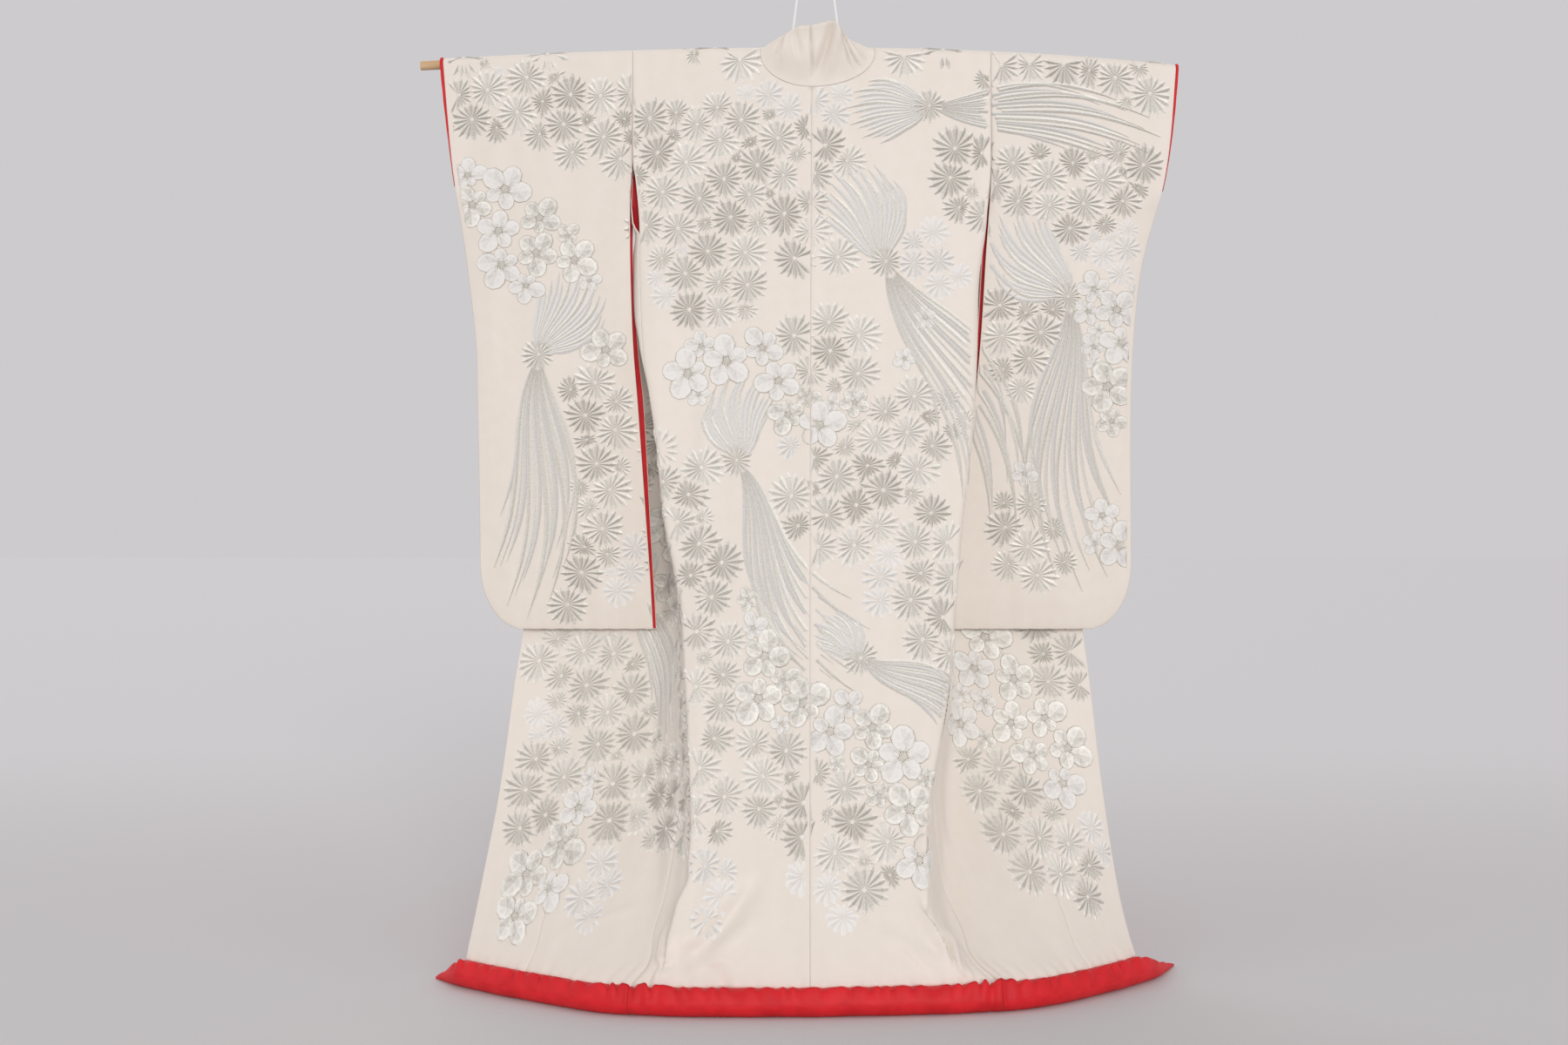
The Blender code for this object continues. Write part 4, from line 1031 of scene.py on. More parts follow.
# Creases of a sleeve layer, by distance out from its armhole seam and level.
SLEEVE_CREASES = {
    "back": (
        (0.060, 1.45, 0.085, 0.95, 0.020, -0.0022),
        (0.170, 1.30, 0.150, 0.75, 0.030, 0.0026),
        (0.250, 1.50, 0.262, 1.05, 0.016, 0.0018),
        (0.220, 0.95, 0.235, 0.66, 0.022, -0.0024),
        (0.090, 0.85, 0.110, 0.63, 0.018, 0.0018),
    ),
    "front": (
        (0.080, 1.40, 0.070, 0.90, 0.024, -0.0022),
        (0.190, 1.45, 0.200, 0.80, 0.028, 0.0025),
        (0.120, 0.98, 0.140, 0.66, 0.018, -0.0020),
        (0.260, 1.20, 0.240, 0.80, 0.020, 0.0018),
    ),
}


def sleeve_outline(side, level, layer):
    """Inner and outer ends of one sleeve layer at a height; the front layer reaches a little further in."""
    table = SLEEVES[side]
    inner = smooth_row(table, "inner", level)
    if layer == "front":
        inner = inner - smooth_row(table, "overhang", level)
    corner = np.clip((SLEEVE_BOTTOM + SLEEVE_CORNER_HEIGHT - level) / SLEEVE_CORNER_HEIGHT, 0, 1)
    outer = smooth_row(table, "outer", level) - SLEEVE_CORNER_WIDTH * (1 - np.sqrt(1 - corner**2))
    return inner + SEAM_GAP / 2, outer


def sleeve_layer(side, layer, share, level):
    """Point of one layer of a sleeve at a share of its width and a level."""
    facing = 1.0 if layer == "back" else -1.0
    inner, outer = sleeve_outline(side, np.minimum(level, POLE_HEIGHT), layer)
    out = inner + (outer - inner) * share
    x = SIDES[side] * out
    to_seam = np.where(level < CUFF_END_HEIGHT, outer - out, 1.0)
    to_seam = np.minimum(to_seam, np.maximum(level - SLEEVE_BOTTOM, 0))
    open_cuff = ease(level, CUFF_END_HEIGHT - 0.06, CUFF_END_HEIGHT)
    closing = np.sqrt(np.clip(to_seam / SLEEVE_CLOSING, 0, 1))
    closing = closing + (1 - closing) * open_cuff * np.where(level > SLEEVE_BOTTOM + 0.2, 1, 0)
    belly = SLEEVE_BELLY + (OVER_POLE - SLEEVE_BELLY) * ease(level, 1.15, POLE_HEIGHT)
    seam = WALL / 2 + SEAM_GAP / 2
    depth = facing * (seam + (belly - seam) * closing)
    below = to_frame(x, depth, hang_height(x, np.minimum(level, POLE_HEIGHT)))
    turn = np.clip((level - POLE_HEIGHT) / OVER_POLE, 0, math.pi / 2)
    lap = to_frame(x, facing * OVER_POLE * np.cos(turn), pole_axis(x) + OVER_POLE * np.sin(turn))
    return np.where((level > POLE_HEIGHT)[..., None], lap, below)


corner_levels = SLEEVE_BOTTOM + SLEEVE_CORNER_HEIGHT * (1 - np.sin(np.radians(np.arange(0, 91, 4.5))))
SLEEVE_LEVELS = np.concatenate([corner_levels[::-1], np.arange(0.729, 1.652, CLOTH_STEP), POLE_LEVELS])


def sleeve_rise(layer, out, level):
    """How far a sleeve's creases lift its cloth, with a small pucker along the bottom seam."""
    plain = ease(level, SLEEVE_BOTTOM + 0.005, SLEEVE_BOTTOM + 0.06) * ease(level, 1.6, 1.45)
    hem = SLEEVE_PUCKER * np.sin(out * 210) * np.exp(-((level - SLEEVE_BOTTOM) / 0.02) ** 2)
    return creases(SLEEVE_CREASES[layer], out, level) * plain + hem


for side in SIDES:
    shares = seam_shares(*SLEEVE_COLUMNS)
    back_v = SLEEVE_LEVELS[:, None] + 0 * shares
    front_v = SLEEVE_LEVELS[-2::-1][:, None] + 0 * shares
    parts, outs = [], []
    for layer, v in (("back", back_v), ("front", front_v)):
        share = shares + 0 * v
        inner, outer = sleeve_outline(side, np.minimum(v, POLE_HEIGHT), layer)
        outs.append((outer - inner) * share)
        points = sleeve_layer(side, layer, share, v)
        parts.append(lifted(points, SIDES[side], sleeve_rise(layer, outs[-1], v)))
    out = np.concatenate(outs)
    length = np.concatenate([back_v, 2 * POLE_HEIGHT + OVER_POLE * math.pi - front_v])
    armhole = np.where(np.minimum(length, 2 * POLE_HEIGHT - length) > ARMHOLE_HEIGHT - 0.02, out, 1.0)
    hangs = np.concatenate([back_v, front_v])[:-1, 0] < ARMHOLE_HEIGHT
    sleeve = cloth_shell(
        f"sleeve_cloth_{side}", np.concatenate(parts), out, length, SIDES[side], [satin, red_silk],
        (armhole,), free=(hangs, False),
    )
    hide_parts(f"sleeve_{side}_back", f"sleeve_{side}_front")


# ---------------------------------------------------------------- cuff edges
# The red lining is rolled a little way out round each cuff opening. The roll is widest over the pole and
# dies away at the foot of the opening.

CUFF_EDGE_WIDTH = {"left": 0.0058, "right": 0.0050}
CUFF_FOOT_WIDTH = 0.0010
CUFF_EDGE_DEPTH = 0.0038
CUFF_SIDES = 12
CUFF_LAPS = np.radians(np.arange(90, 0, -10))

for side in SIDES:
    down = np.linspace(POLE_HEIGHT, CUFF_END_HEIGHT + 0.002, 34)
    laps = POLE_HEIGHT + OVER_POLE * CUFF_LAPS
    levels = np.concatenate([laps, down, down[::-1], laps[:0:-1]])
    layers = ["back"] * (len(laps) + len(down)) + ["front"] * (len(laps) + len(down) - 1)
    one = np.ones(1)
    path = np.array([sleeve_layer(side, layer, one, one * level)[0] for layer, level in zip(layers, levels)])
    ahead = unit(np.roll(path, -1, axis=0) - np.roll(path, 1, axis=0))
    outward = np.array((SIDES[side], 0.0, 0.0))
    outward = unit(outward - ahead * (ahead @ outward)[:, None])
    through = np.cross(ahead, outward) * SIDES[side]
    width = CUFF_FOOT_WIDTH + (CUFF_EDGE_WIDTH[side] - CUFF_FOOT_WIDTH) * ease(levels, CUFF_END_HEIGHT, 1.66)
    angle = np.arange(CUFF_SIDES) * math.tau / CUFF_SIDES
    uneven = 1 + 0.03 * np.sin(levels * 140)[:, None]
    across = SEAM_GAP + width[:, None] * (0.5 - 0.5 * np.cos(angle)) * uneven
    middle = CUFF_EDGE_DEPTH / 2 - WALL / 2
    thick = middle + CUFF_EDGE_DEPTH / 2 * np.sign(np.sin(angle)) * np.abs(np.sin(angle)) ** 0.6
    rings = path[:, None] + outward[:, None] * across[..., None] + through[:, None] * thick[None, :, None]
    faces, uv = tube_grid(rings, closed=True)
    uv = uv.reshape(-1, 4, 2)
    if side == "left":
        faces, uv = faces[:, ::-1], uv[:, ::-1]
    cuff = mesh_piece(f"cuff_roll_{side}", rings, faces, uv * (0.02, 1), [red_silk])
    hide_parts(f"cuff_edge_{side}")


# ---------------------------------------------------------------- padded hem
# The fuki is a roll of cotton wadding covered in the red lining silk, sewn to the lower edge of the back
# and both fronts. It lies on the floor, bowed forward, is gathered at the side seams, and its ends taper.

ROLL_DEPTH = 0.052
TIP_SIZE = 0.004
ROLL_SPLIT = 0.2985
GATHER_PLACE = 0.285
GATHER_REACH = 0.04
GATHER_STEP = 0.028
GATHER_PUFF = 0.10
SCALLOP_STEP = 0.027
SCALLOP_PHASE = {"left": 1.3, "right": 0.4}
# How deep a stitch draws the roll in, as a share of it, and how far a puff swells up between two stitches:
# along the plain hem, and what the gathers add.
GROOVE_DRAW = (0.045, 0.130)
PUFF_SWELL = (0.0095, 0.0085)
SWELL_ANGLE = math.radians(52)
# Sizes of the small sections that close an end of the roll, in shares of its last section.
CAP_SHARES = (0.02, 0.6)
ROLL_SIDES = 32
SLOPE_STEP = 1e-3


def roll_rings(side, places):
    """Sections of the roll at the places out from the centre, with the puckers that its seam pulls in."""
    tip, cloth_end = HEM_PLAN[side]["out"][-1], SECTIONS[side]["front"][-1]
    step = SLOPE_STEP
    depth = hem_depth(side, places)
    slope = (hem_depth(side, places + step) - hem_depth(side, places - step)) / (2 * step)
    normal = np.stack([-slope, np.ones_like(slope)], axis=-1) / np.hypot(1.0, slope)[:, None]
    taper = np.minimum((tip - places) / (tip - cloth_end), 1.0)
    near = np.exp(-(((places - GATHER_PLACE) / GATHER_REACH) ** 2))
    puff = 1 + GATHER_PUFF * near * np.sin((places - GATHER_PLACE) * math.tau / GATHER_STEP)
    half_depth = ((TIP_SIZE + (ROLL_DEPTH - TIP_SIZE) * taper) / 2 * puff)[:, None]
    half_height = ((TIP_SIZE + (ROLL_HEIGHT - TIP_SIZE) * taper) / 2 * np.minimum(puff, 1.0))[:, None]
    angle = (np.arange(ROLL_SIDES) * math.tau / ROLL_SIDES)[None, :]
    phase = SCALLOP_PHASE[side]
    u = places[:, None]
    top = ease(np.sin(angle), -0.2, 1.0)
    wander = 0.9 * np.sin(u * 47 + 3 * phase) + 0.5 * np.sin(u * 113 + phase)
    scallop = np.abs(np.sin(u * math.pi / SCALLOP_STEP + phase + wander))
    groove = (1 - scallop) ** 2 * (0.4 + 0.6 * top)
    drawn = 1 - groove * (GROOVE_DRAW[0] + GROOVE_DRAW[1] * near[:, None]) * taper[:, None]
    drawn = drawn - 0.012 * np.sin(u * 61 + angle * 2) * taper[:, None]
    across = half_depth * np.cos(angle) * drawn
    rise = half_height * np.maximum(1 + np.sin(angle) * 1.06 * drawn, 0.0) * 2 / 2.06
    # Each puff between two stitches swells up in front of the cloth's edge.
    swell = np.exp(-(((angle - SWELL_ANGLE) / 0.30) ** 2))
    rise = rise + swell * (PUFF_SWELL[0] + PUFF_SWELL[1] * near[:, None]) * scallop**0.7 * taper[:, None]
    x = SIDES[side] * (u + normal[:, :1] * across)
    return to_frame(x, depth[:, None] + normal[:, 1:] * across, rise)


def roll_piece(name, rings):
    """A stretch of the roll through its sections, with closed ends and its faces turned outwards."""
    start, end = rings[0].mean(axis=0), rings[-1].mean(axis=0)
    first = [start + (rings[0] - start) * share for share in CAP_SHARES]
    last = [end + (rings[-1] - end) * share for share in CAP_SHARES[::-1]]
    rings = np.concatenate([first, rings, last])
    faces, uv = tube_grid(rings)
    uv = uv.reshape(-1, 4, 2) * (0.15, 1)
    a, b, c = (rings.reshape(-1, 3)[faces[len(faces) // 2, k]] for k in (0, 1, 3))
    middle = rings[len(rings) // 2].mean(axis=0)
    if np.dot(np.cross(b - a, c - a), a - middle) < 0:
        faces, uv = faces[:, ::-1], uv[:, ::-1]
    made = mesh_piece(name, rings, faces, uv, [red_silk])
    return made


half = np.linspace(0, ROLL_SPLIT - SEAM_GAP / 2, 86)
middle_rings = np.concatenate([roll_rings("left", half[:0:-1]), roll_rings("right", half)])
back_roll = roll_piece("padded_hem_back", middle_rings)
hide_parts("fuki_back")
for side in SIDES:
    tip, cloth_end = HEM_PLAN[side]["out"][-1], SECTIONS[side]["front"][-1]
    sewn = np.linspace(ROLL_SPLIT + SEAM_GAP / 2, cloth_end, 84)
    outer = np.concatenate([sewn, np.linspace(cloth_end, tip, 18)[1:]])
    front_roll = roll_piece(f"padded_hem_{side}", roll_rings(side, outer))
    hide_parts(f"fuki_{side}")


# ---------------------------------------------------------------- embroidery
# Raised satin stitch in silver and white silk, worked through the satin before the panels were sewn: drifts
# of chrysanthemums and plum blossoms that run on across the seams, and bundles of long ribbons between.

STITCH_SINK = -0.0003
STITCH_BRIDGE = 0.0016
STITCH_MARGIN = 0.003
NORMAL_STEP = 4e-4
MILLIMETRE = 0.001
# The flower radius at which the lifts below are as stated.
USUAL_RADIUS = 0.034


def thread_look(name, dark, light, metallic, roughness):
    """Floss in satin stitch. The tone attribute goes from dark to light thread; on chrysanthemums and ribbons
    it also holds painted light.
    """
    look, wire, shader = new_look(name, roughness, Sheen_Weight=0.1)
    tone = wire.node("ShaderNodeAttribute", {"attribute_name": "tone"}, output=2)
    uv = wire.surface()
    slant_and_painted_light = uv.stretch((1, 1, 1), Rotation=(0, 0, 0.5))
    rows = {"Vector": slant_and_painted_light, "Scale": 420.0, "Distortion": 1.5}
    stitch = wire.node("ShaderNodeTexWave", {"bands_direction": "Y"}, rows)
    uneven = uv.noise(260.0, 2.0)
    shade = (tone * 0.8 + uneven * 0.4 - 0.1).between(0.0, 1.0)
    wire.put(shader.inputs["Base Color"], shade.blend((*dark, 1), (*light, 1)))
    shader.inputs["Metallic"].default_value = metallic
    wire.put(shader.inputs["Roughness"], stitch * 0.14 + (roughness - 0.07))
    wire.put(shader.inputs["Normal"], stitch.bump(0.5, 0.0003))
    return look


silver_thread = thread_look("silver_thread", (0.43, 0.400, 0.345), (0.96, 0.93, 0.86), 0.10, 0.38)
white_thread = thread_look("white_thread", (0.52, 0.495, 0.455), (0.88, 0.85, 0.81), 0.0, 0.5)


def back_place(side, u, v):
    """A place on the back by the distance from its centre seam and the level, kept inside the seams."""
    low = np.where(v < NAPE_LEVELS[0], 0.0, neck_half(side, v)) + 0.0012
    return np.clip(u * SIDES[side], low, back_width(side, v) - 0.002), v


def sleeve_place(side, layer, u, v):
    """A place on a sleeve layer by the share of its width and the level, kept inside its seams."""
    inner, outer = sleeve_outline(side, np.minimum(v, POLE_HEIGHT), layer)
    share = (u * SIDES[side] - inner) / (outer - inner)
    return np.clip(share, 0.006, 0.975), np.maximum(v, SLEEVE_BOTTOM + 0.006)


def front_place(side, u, v):
    """A place on an opened front by the distance in from its outer edge."""
    outer = front_start(side, v) + front_width(side, v) + okumi_width(v)
    return outer - np.clip(-u * SIDES[side], STITCH_MARGIN, 0.385), np.maximum(v, HEM_HEIGHT + 0.004)


def cloth_surface(cloth, u, v):
    """Points of a cloth's plain surface at design places u, v, and how far its creases lift it there."""
    kind, side = cloth
    if kind == "back":
        s, level = back_place(side, u, v)
        return over_pole(side, s, level, 0, 90), body_rise(side, s, level)
    if kind == "front":
        s, level = front_place(side, u, v)
        return over_pole(side, s, level, 180, 90), body_rise(side, s, level)
    layer = kind.split()[1]
    share, level = sleeve_place(side, layer, u, v)
    inner, outer = sleeve_outline(side, np.minimum(level, POLE_HEIGHT), layer)
    return sleeve_layer(side, layer, share, level), sleeve_rise(layer, (outer - inner) * share, level)


def on_cloth(cloth, u, v, lift):
    """Points raised off a cloth's outer face at design places u, v."""
    step = NORMAL_STEP
    points, rise = cloth_surface(cloth, u, v)
    sideways = cloth_surface(cloth, u + step, v)[0] - cloth_surface(cloth, u - step, v)[0]
    upwards = cloth_surface(cloth, u, v + step)[0] - cloth_surface(cloth, u, v - step)[0]
    normal = np.cross(sideways, upwards)
    length = np.linalg.norm(normal, axis=-1, keepdims=True)
    normal = np.where(length > 1e-12, normal / np.maximum(length, 1e-12), (0.0, -1.0, 0.0))
    if cloth[0] == "sleeve front":
        normal = -normal
    raised = points + normal * (rise + CLOTH_THICKNESS / 2 + lift)[..., None]
    if cloth[0] == "back":
        side = cloth[1]
        raised[..., 0] += SIDES[side] * creases(BODY_LIPS[side], *back_place(side, u, v))
    return raised


def belongs(cloth, u, v):
    """Which design places lie on a cloth."""
    kind, side = cloth
    if kind == "front":
        return (u * SIDES[side] < 0) & (v > HEM_HEIGHT + 0.012)
    on_side = u * SIDES[side] > 0
    if kind == "back":
        clear_of_neck = np.abs(u) > neck_half(side, v) + STITCH_MARGIN
        return on_side & (np.abs(u) < back_width(side, v) - STITCH_MARGIN) & clear_of_neck
    inner, outer = sleeve_outline(side, np.minimum(v, POLE_HEIGHT), kind.split()[1])
    return on_side & (np.abs(u) > inner) & (np.abs(u) < outer - 0.006) & (v > SLEEVE_BOTTOM + 0.008)


class Stitches:
    """The shapes that one thread stitches on one cloth. Each shape is a template placed many times."""

    def __init__(self):
        self.points, self.faces, self.uv, self.tones = [], [], [], []
        self.count = 0

    def add(self, cloth, u, v, lift, faces, tone):
        """Shapes in rows: u, v and lift of each row's points, and the tone of each of the template's faces.
        The first face's first side is the longest one, and a shape is left out where it cuts into a fold."""
        inside = belongs(cloth, u, v)
        keep = inside.mean(axis=1) > 0.35
        if not keep.any():
            return
        tone = (tone + np.zeros((len(u), len(faces))))[keep]
        places = np.stack([u, v, np.where(inside, lift, STITCH_SINK)])[:, keep]
        ends = list(faces[0][:2])
        middle = places[..., ends].mean(axis=2, keepdims=True)
        points = on_cloth(cloth, *np.concatenate([places, middle], axis=2))
        keep = np.linalg.norm(points[:, ends].mean(axis=1) - points[:, -1], axis=-1) < STITCH_BRIDGE
        (u, v, _), points, tone = places[:, keep], points[keep, :-1], tone[keep]
        start = self.count + np.arange(len(u))[:, None] * u.shape[1]
        for number, face in enumerate(faces):
            order = list(face[::-1] if cloth[0] == "sleeve front" else face)
            self.faces += (start + np.array(order)[None, :]).tolist()
            self.uv.append(np.stack([u[:, order], v[:, order]], axis=-1).reshape(-1, 2))
            self.tones.append(np.clip(tone[:, number], 0, 1))
        self.points.append(points.reshape(-1, 3))
        self.count += u.size

    def piece(self, name, look, smooth):
        """One mesh of all the shapes. Smooth padding or flat facets, and a tone for each face."""
        made = mesh_piece(name, np.concatenate(self.points), self.faces, np.concatenate(self.uv), [look])
        made.data.polygons.foreach_set("use_smooth", np.full(len(self.faces), smooth))
        tone = made.data.attributes.new("tone", "FLOAT", "FACE")
        tone.data.foreach_set("value", np.concatenate(self.tones).astype(np.float32))
        return made


# A chrysanthemum's petal in flower radii, ridged: its half width, way out and lift in millimetres.
KIKU_PETAL = (
    (0, 0.08, 0.8), (-0.142, 0.76, -0.3), (0, 0.80, 2.1), (0.142, 0.76, -0.3),
    (-0.106, 0.93, -0.3), (0, 1.0, 0.5), (0.106, 0.93, -0.3),
)
KIKU_FACES = ((0, 2, 1), (0, 3, 2), (1, 2, 5, 4), (2, 3, 6, 5))
# The way, by u and v, towards a light from above and a little to the left that is painted into the stitches'
# tone: stitches that face it are given the lighter tone.
PAINTED_LIGHT_WAY = (-0.3, 0.95)


def rotated(u, v, angle):
    """Places turned about the flower's middle."""
    return u * np.cos(angle) - v * np.sin(angle), u * np.sin(angle) + v * np.cos(angle)


def stitch_kiku(stitches, field, cloth, flowers, petals=16, height=1.0):
    """Chrysanthemums at rows of (u, v, radius, turn, tone). The half of each petal that faces the painted
    light is given a lighter tone and the other half a darker one.
    """
    across, out, lift = np.array(KIKU_PETAL).T
    at_u, at_v, radius, turn, tone = np.hsplit(flowers, 5)
    height = MILLIMETRE * height * np.clip(radius / USUAL_RADIUS, 0.65, 1.1)
    for number in range(petals):
        angle = turn + number * math.tau / petals
        leaning = 1.06 - 0.12 * (1 - np.cos(angle - 3 * turn)) + 0.05 * np.sin(number * 2.4 + turn * 9)
        size = radius * np.minimum(leaning, field.room(flowers, angle + math.pi / 2))
        u, v = rotated(across[None, :] * 16 / petals, out[None, :], angle)
        # Painted light: the half of each petal that faces the painted light's way is made lighter, the other
        # half darker.
        slant_and_painted_light = 0.34 * (np.cos(angle) * PAINTED_LIGHT_WAY[0] + np.sin(angle) * PAINTED_LIGHT_WAY[1])
        tones = tone + slant_and_painted_light * np.array([[-1, 1, -1, 1]]) + np.array([[-0.12, -0.12, 0.06, 0.06]])
        stitches.add(cloth, at_u + size * u, at_v + size * v, lift[None, :] * height, KIKU_FACES, tones)
    ring = np.arange(6) * math.tau / 6
    u, v = (np.concatenate([[0], 0.10 * wave(ring)])[None, :] for wave in (np.cos, np.sin))
    lift = np.array([[1.9] + [0.4] * 6])
    faces = [(0, 1 + n, 1 + (n + 1) % 6) for n in range(6)]
    stitches.add(cloth, at_u + radius * u, at_v + radius * v, lift * height, faces, 0.75)


# A plum petal in flower radii: how far out its middle lies, the half width and half length of its inner ring
# and its edge, and those of the three lines of the cord that is couched round it.
PLUM_PETALS = 5
PLUM_MIDDLE = 0.57
PLUM_RINGS = ((0.25, 0.29), (0.355, 0.40))
PLUM_CORD = ((0.345, 0.39), (0.375, 0.42), (0.41, 0.455))


def petal_rings(sizes, ring):
    """Places across and along a plum petal, from its middle, for rings of the given sizes."""
    across = np.concatenate([wide * np.cos(ring) for wide, _ in sizes])
    return across, np.concatenate([high * np.sin(ring) for _, high in sizes])


def stitch_plum(pale, silver, field, cloth, flowers):
    """Plum blossoms: five broad padded petals of white thread, each couched round with a silver cord."""
    ring = np.arange(10) * math.tau / 10
    turned = [np.roll(np.arange(10), -n) for n in (0, 1)]
    at_u, at_v, radius, turn, tone = np.hsplit(flowers, 5)
    height = MILLIMETRE * np.clip(radius / USUAL_RADIUS, 0.7, 1.2)
    for number in range(PLUM_PETALS):
        angle = turn + number * math.tau / PLUM_PETALS
        size = radius * (1 + 0.06 * np.sin(3 * turn + 2 * number))
        size = size * np.maximum(field.room(flowers, angle + math.pi / 2), 0.6)
        across, along = petal_rings(PLUM_RINGS, ring)
        u, v = rotated(np.append(0, across)[None, :], PLUM_MIDDLE + np.append(-0.1, along)[None, :], angle)
        lift = np.array([[1.7] + [1.5] * 10 + [0.9] * 10]) + 0.3 * (number % 2)
        faces = [(0, 1 + a, 1 + b) for a, b in zip(*turned)]
        faces += [(1 + a, 11 + a, 11 + b, 1 + b) for a, b in zip(*turned)]
        streaks = 0.62 + 0.16 * np.sin(ring - 1.2) + 0.14 * (np.arange(10) % 2)
        tones = np.concatenate([streaks - 0.1, streaks + 0.1])[None, :] + 0.9 * (tone - 0.54)
        pale.add(cloth, at_u + size * u, at_v + size * v, lift * height, faces, tones)
        across, along = petal_rings(PLUM_CORD, ring)
        u, v = rotated(across[None, :], PLUM_MIDDLE + along[None, :], angle)
        lift = np.repeat([[0.7, 1.5, -0.3]], 10, axis=1) + 0.3 * (number % 2)
        faces = [(a + k, a + k + 10, b + k + 10, b + k) for k in (0, 10) for a, b in zip(*turned)]
        tones = np.concatenate([0.75 + 0 * ring, 0.30 + 0.25 * np.sin(ring)])[None, :]
        silver.add(cloth, at_u + size * u, at_v + size * v, lift * height, faces, tones)
    for number in range(10):
        angle = turn + (number + 0.5) * math.tau / 10
        reach = 0.36 if number % 2 else 0.26
        across, out = np.array([[-0.014, 0.014, 0.022, -0.022]]), np.array([[0.02, 0.02, reach, reach]])
        u, v = rotated(across, out, angle)
        silver.add(cloth, at_u + radius * u, at_v + radius * v, 2.4 * height, [(0, 1, 2, 3)], 0.5)


def stitch_strand(stitches, cloth, path, width, tone):
    """A ribbon of stitches on a path of design places, ridged down its middle, with tapered ends. Its side
    that faces the painted light is given a lighter tone, the other side a darker one.
    """
    ahead = unit(np.gradient(path, axis=0))
    share = np.linspace(0, 1, len(path))
    half = width / 2 * np.minimum(1, 0.25 + 3 * share) * np.minimum(1, (1 - share) * 5 + 0.05)
    left = np.stack([-ahead[:, 1], ahead[:, 0]], axis=1) * half[:, None]
    edges = np.stack([path - left, path, path + left], axis=1)
    rows = np.concatenate([edges[:-1], edges[1:]], axis=1)
    lift = np.array([[-0.3, 1.7, -0.3, -0.3, 1.7, -0.3]]) * MILLIMETRE
    # Painted light: the ribbon's side that faces the painted light's way is made lighter, the other side
    # darker.
    slant_and_painted_light = 0.25 * (left[:-1, :1] * PAINTED_LIGHT_WAY[0] + left[:-1, 1:] * PAINTED_LIGHT_WAY[1]) / half[:-1, None]
    # Corner order: right edge, ridge and left edge of one cut, and then of the next.
    faces = [(0, 3, 4, 1), (1, 4, 5, 2)]
    stitches.add(cloth, rows[..., 0], rows[..., 1], lift, faces, tone + slant_and_painted_light * np.array([[-1, 1]]))


# Flowers are thrown at random into a drift, so many for each metre of it and at least so many. They may
# overlap to this share of their radii's sum.
THROWS_A_METRE = 5000
LEAST_THROWS = 400
FLOWER_SPACING = 0.60


class Field:
    """Where the stitched shapes of one design lie, so that the next ones keep clear of them."""

    def __init__(self, seed):
        self.chance = np.random.default_rng(seed)
        self.taken = np.zeros((0, 3))

    def claim(self, rows):
        """Keeps (u, v, radius) rows as taken."""
        self.taken = np.concatenate([self.taken, np.reshape(rows, (-1, 3))])

    def drift(self, through, sizes):
        """Flowers for stitch_kiku, packed into a band through (u, v, half width) points, large ones first."""
        through = np.array(through, float)
        steps = np.linalg.norm(np.diff(through[:, :2], axis=0), axis=1)
        flowers = []
        throws = int(THROWS_A_METRE * steps.sum()) + LEAST_THROWS
        for throw in range(throws):
            leg = self.chance.choice(len(steps), p=steps / steps.sum())
            share = self.chance.random()
            u, v, half = through[leg] * (1 - share) + through[leg + 1] * share
            u, v = (u, v) + self.chance.uniform(-half, half, 2)
            radius = sizes[1] - (sizes[1] - sizes[0]) * (throw / throws) ** 0.6
            near = np.hypot(self.taken[:, 0] - u, self.taken[:, 1] - v)
            if np.all(near > FLOWER_SPACING * (self.taken[:, 2] + radius)):
                self.claim((u, v, radius))
                turn, tone = self.chance.random() * math.tau, self.chance.uniform(0.40, 0.80)
                flowers.append((u, v, radius, turn, tone))
        return np.reshape(flowers, (-1, 5))

    def room(self, flowers, heading):
        """How far each flower runs towards a heading before it meets a neighbour, in shares of its radius."""
        away = self.taken[None, :, :2] - flowers[:, None, :2]
        apart = (away**2).sum(axis=2)
        along = away[..., 0] * np.cos(heading) + away[..., 1] * np.sin(heading)
        meets = (apart + flowers[:, 2:3] ** 2 - self.taken[None, :, 2] ** 2) / (2 * np.maximum(along, 1e-9))
        meets = np.where((along > 0) & (apart > 1e-9), meets, np.inf).min(axis=1)
        return np.clip(meets / flowers[:, 2], 0.4, 1.0)[:, None]


def ribbon_bundle(knot, heading, count, length, spread, sway, points=16):
    """Paths of ribbons that fan out from a knot, curving as they go."""
    paths = []
    for number in range(count):
        share = 2 * number / (count - 1) - 1
        t = np.linspace(0, 1, points)
        angle = math.radians(heading) + spread * share * (1 - 0.85 * t) + sway * np.sin(t * 4.2 + 0.2 * share)
        reach = length * (1 - 0.26 * share**2 + 0.07 * ((number * 5) % 3 - 1)) / points
        u = knot[0] + np.cumsum(np.cos(angle)) * reach
        v = knot[1] + np.cumsum(np.sin(angle)) * reach
        paths.append(np.stack([u, v], axis=1))
    return paths


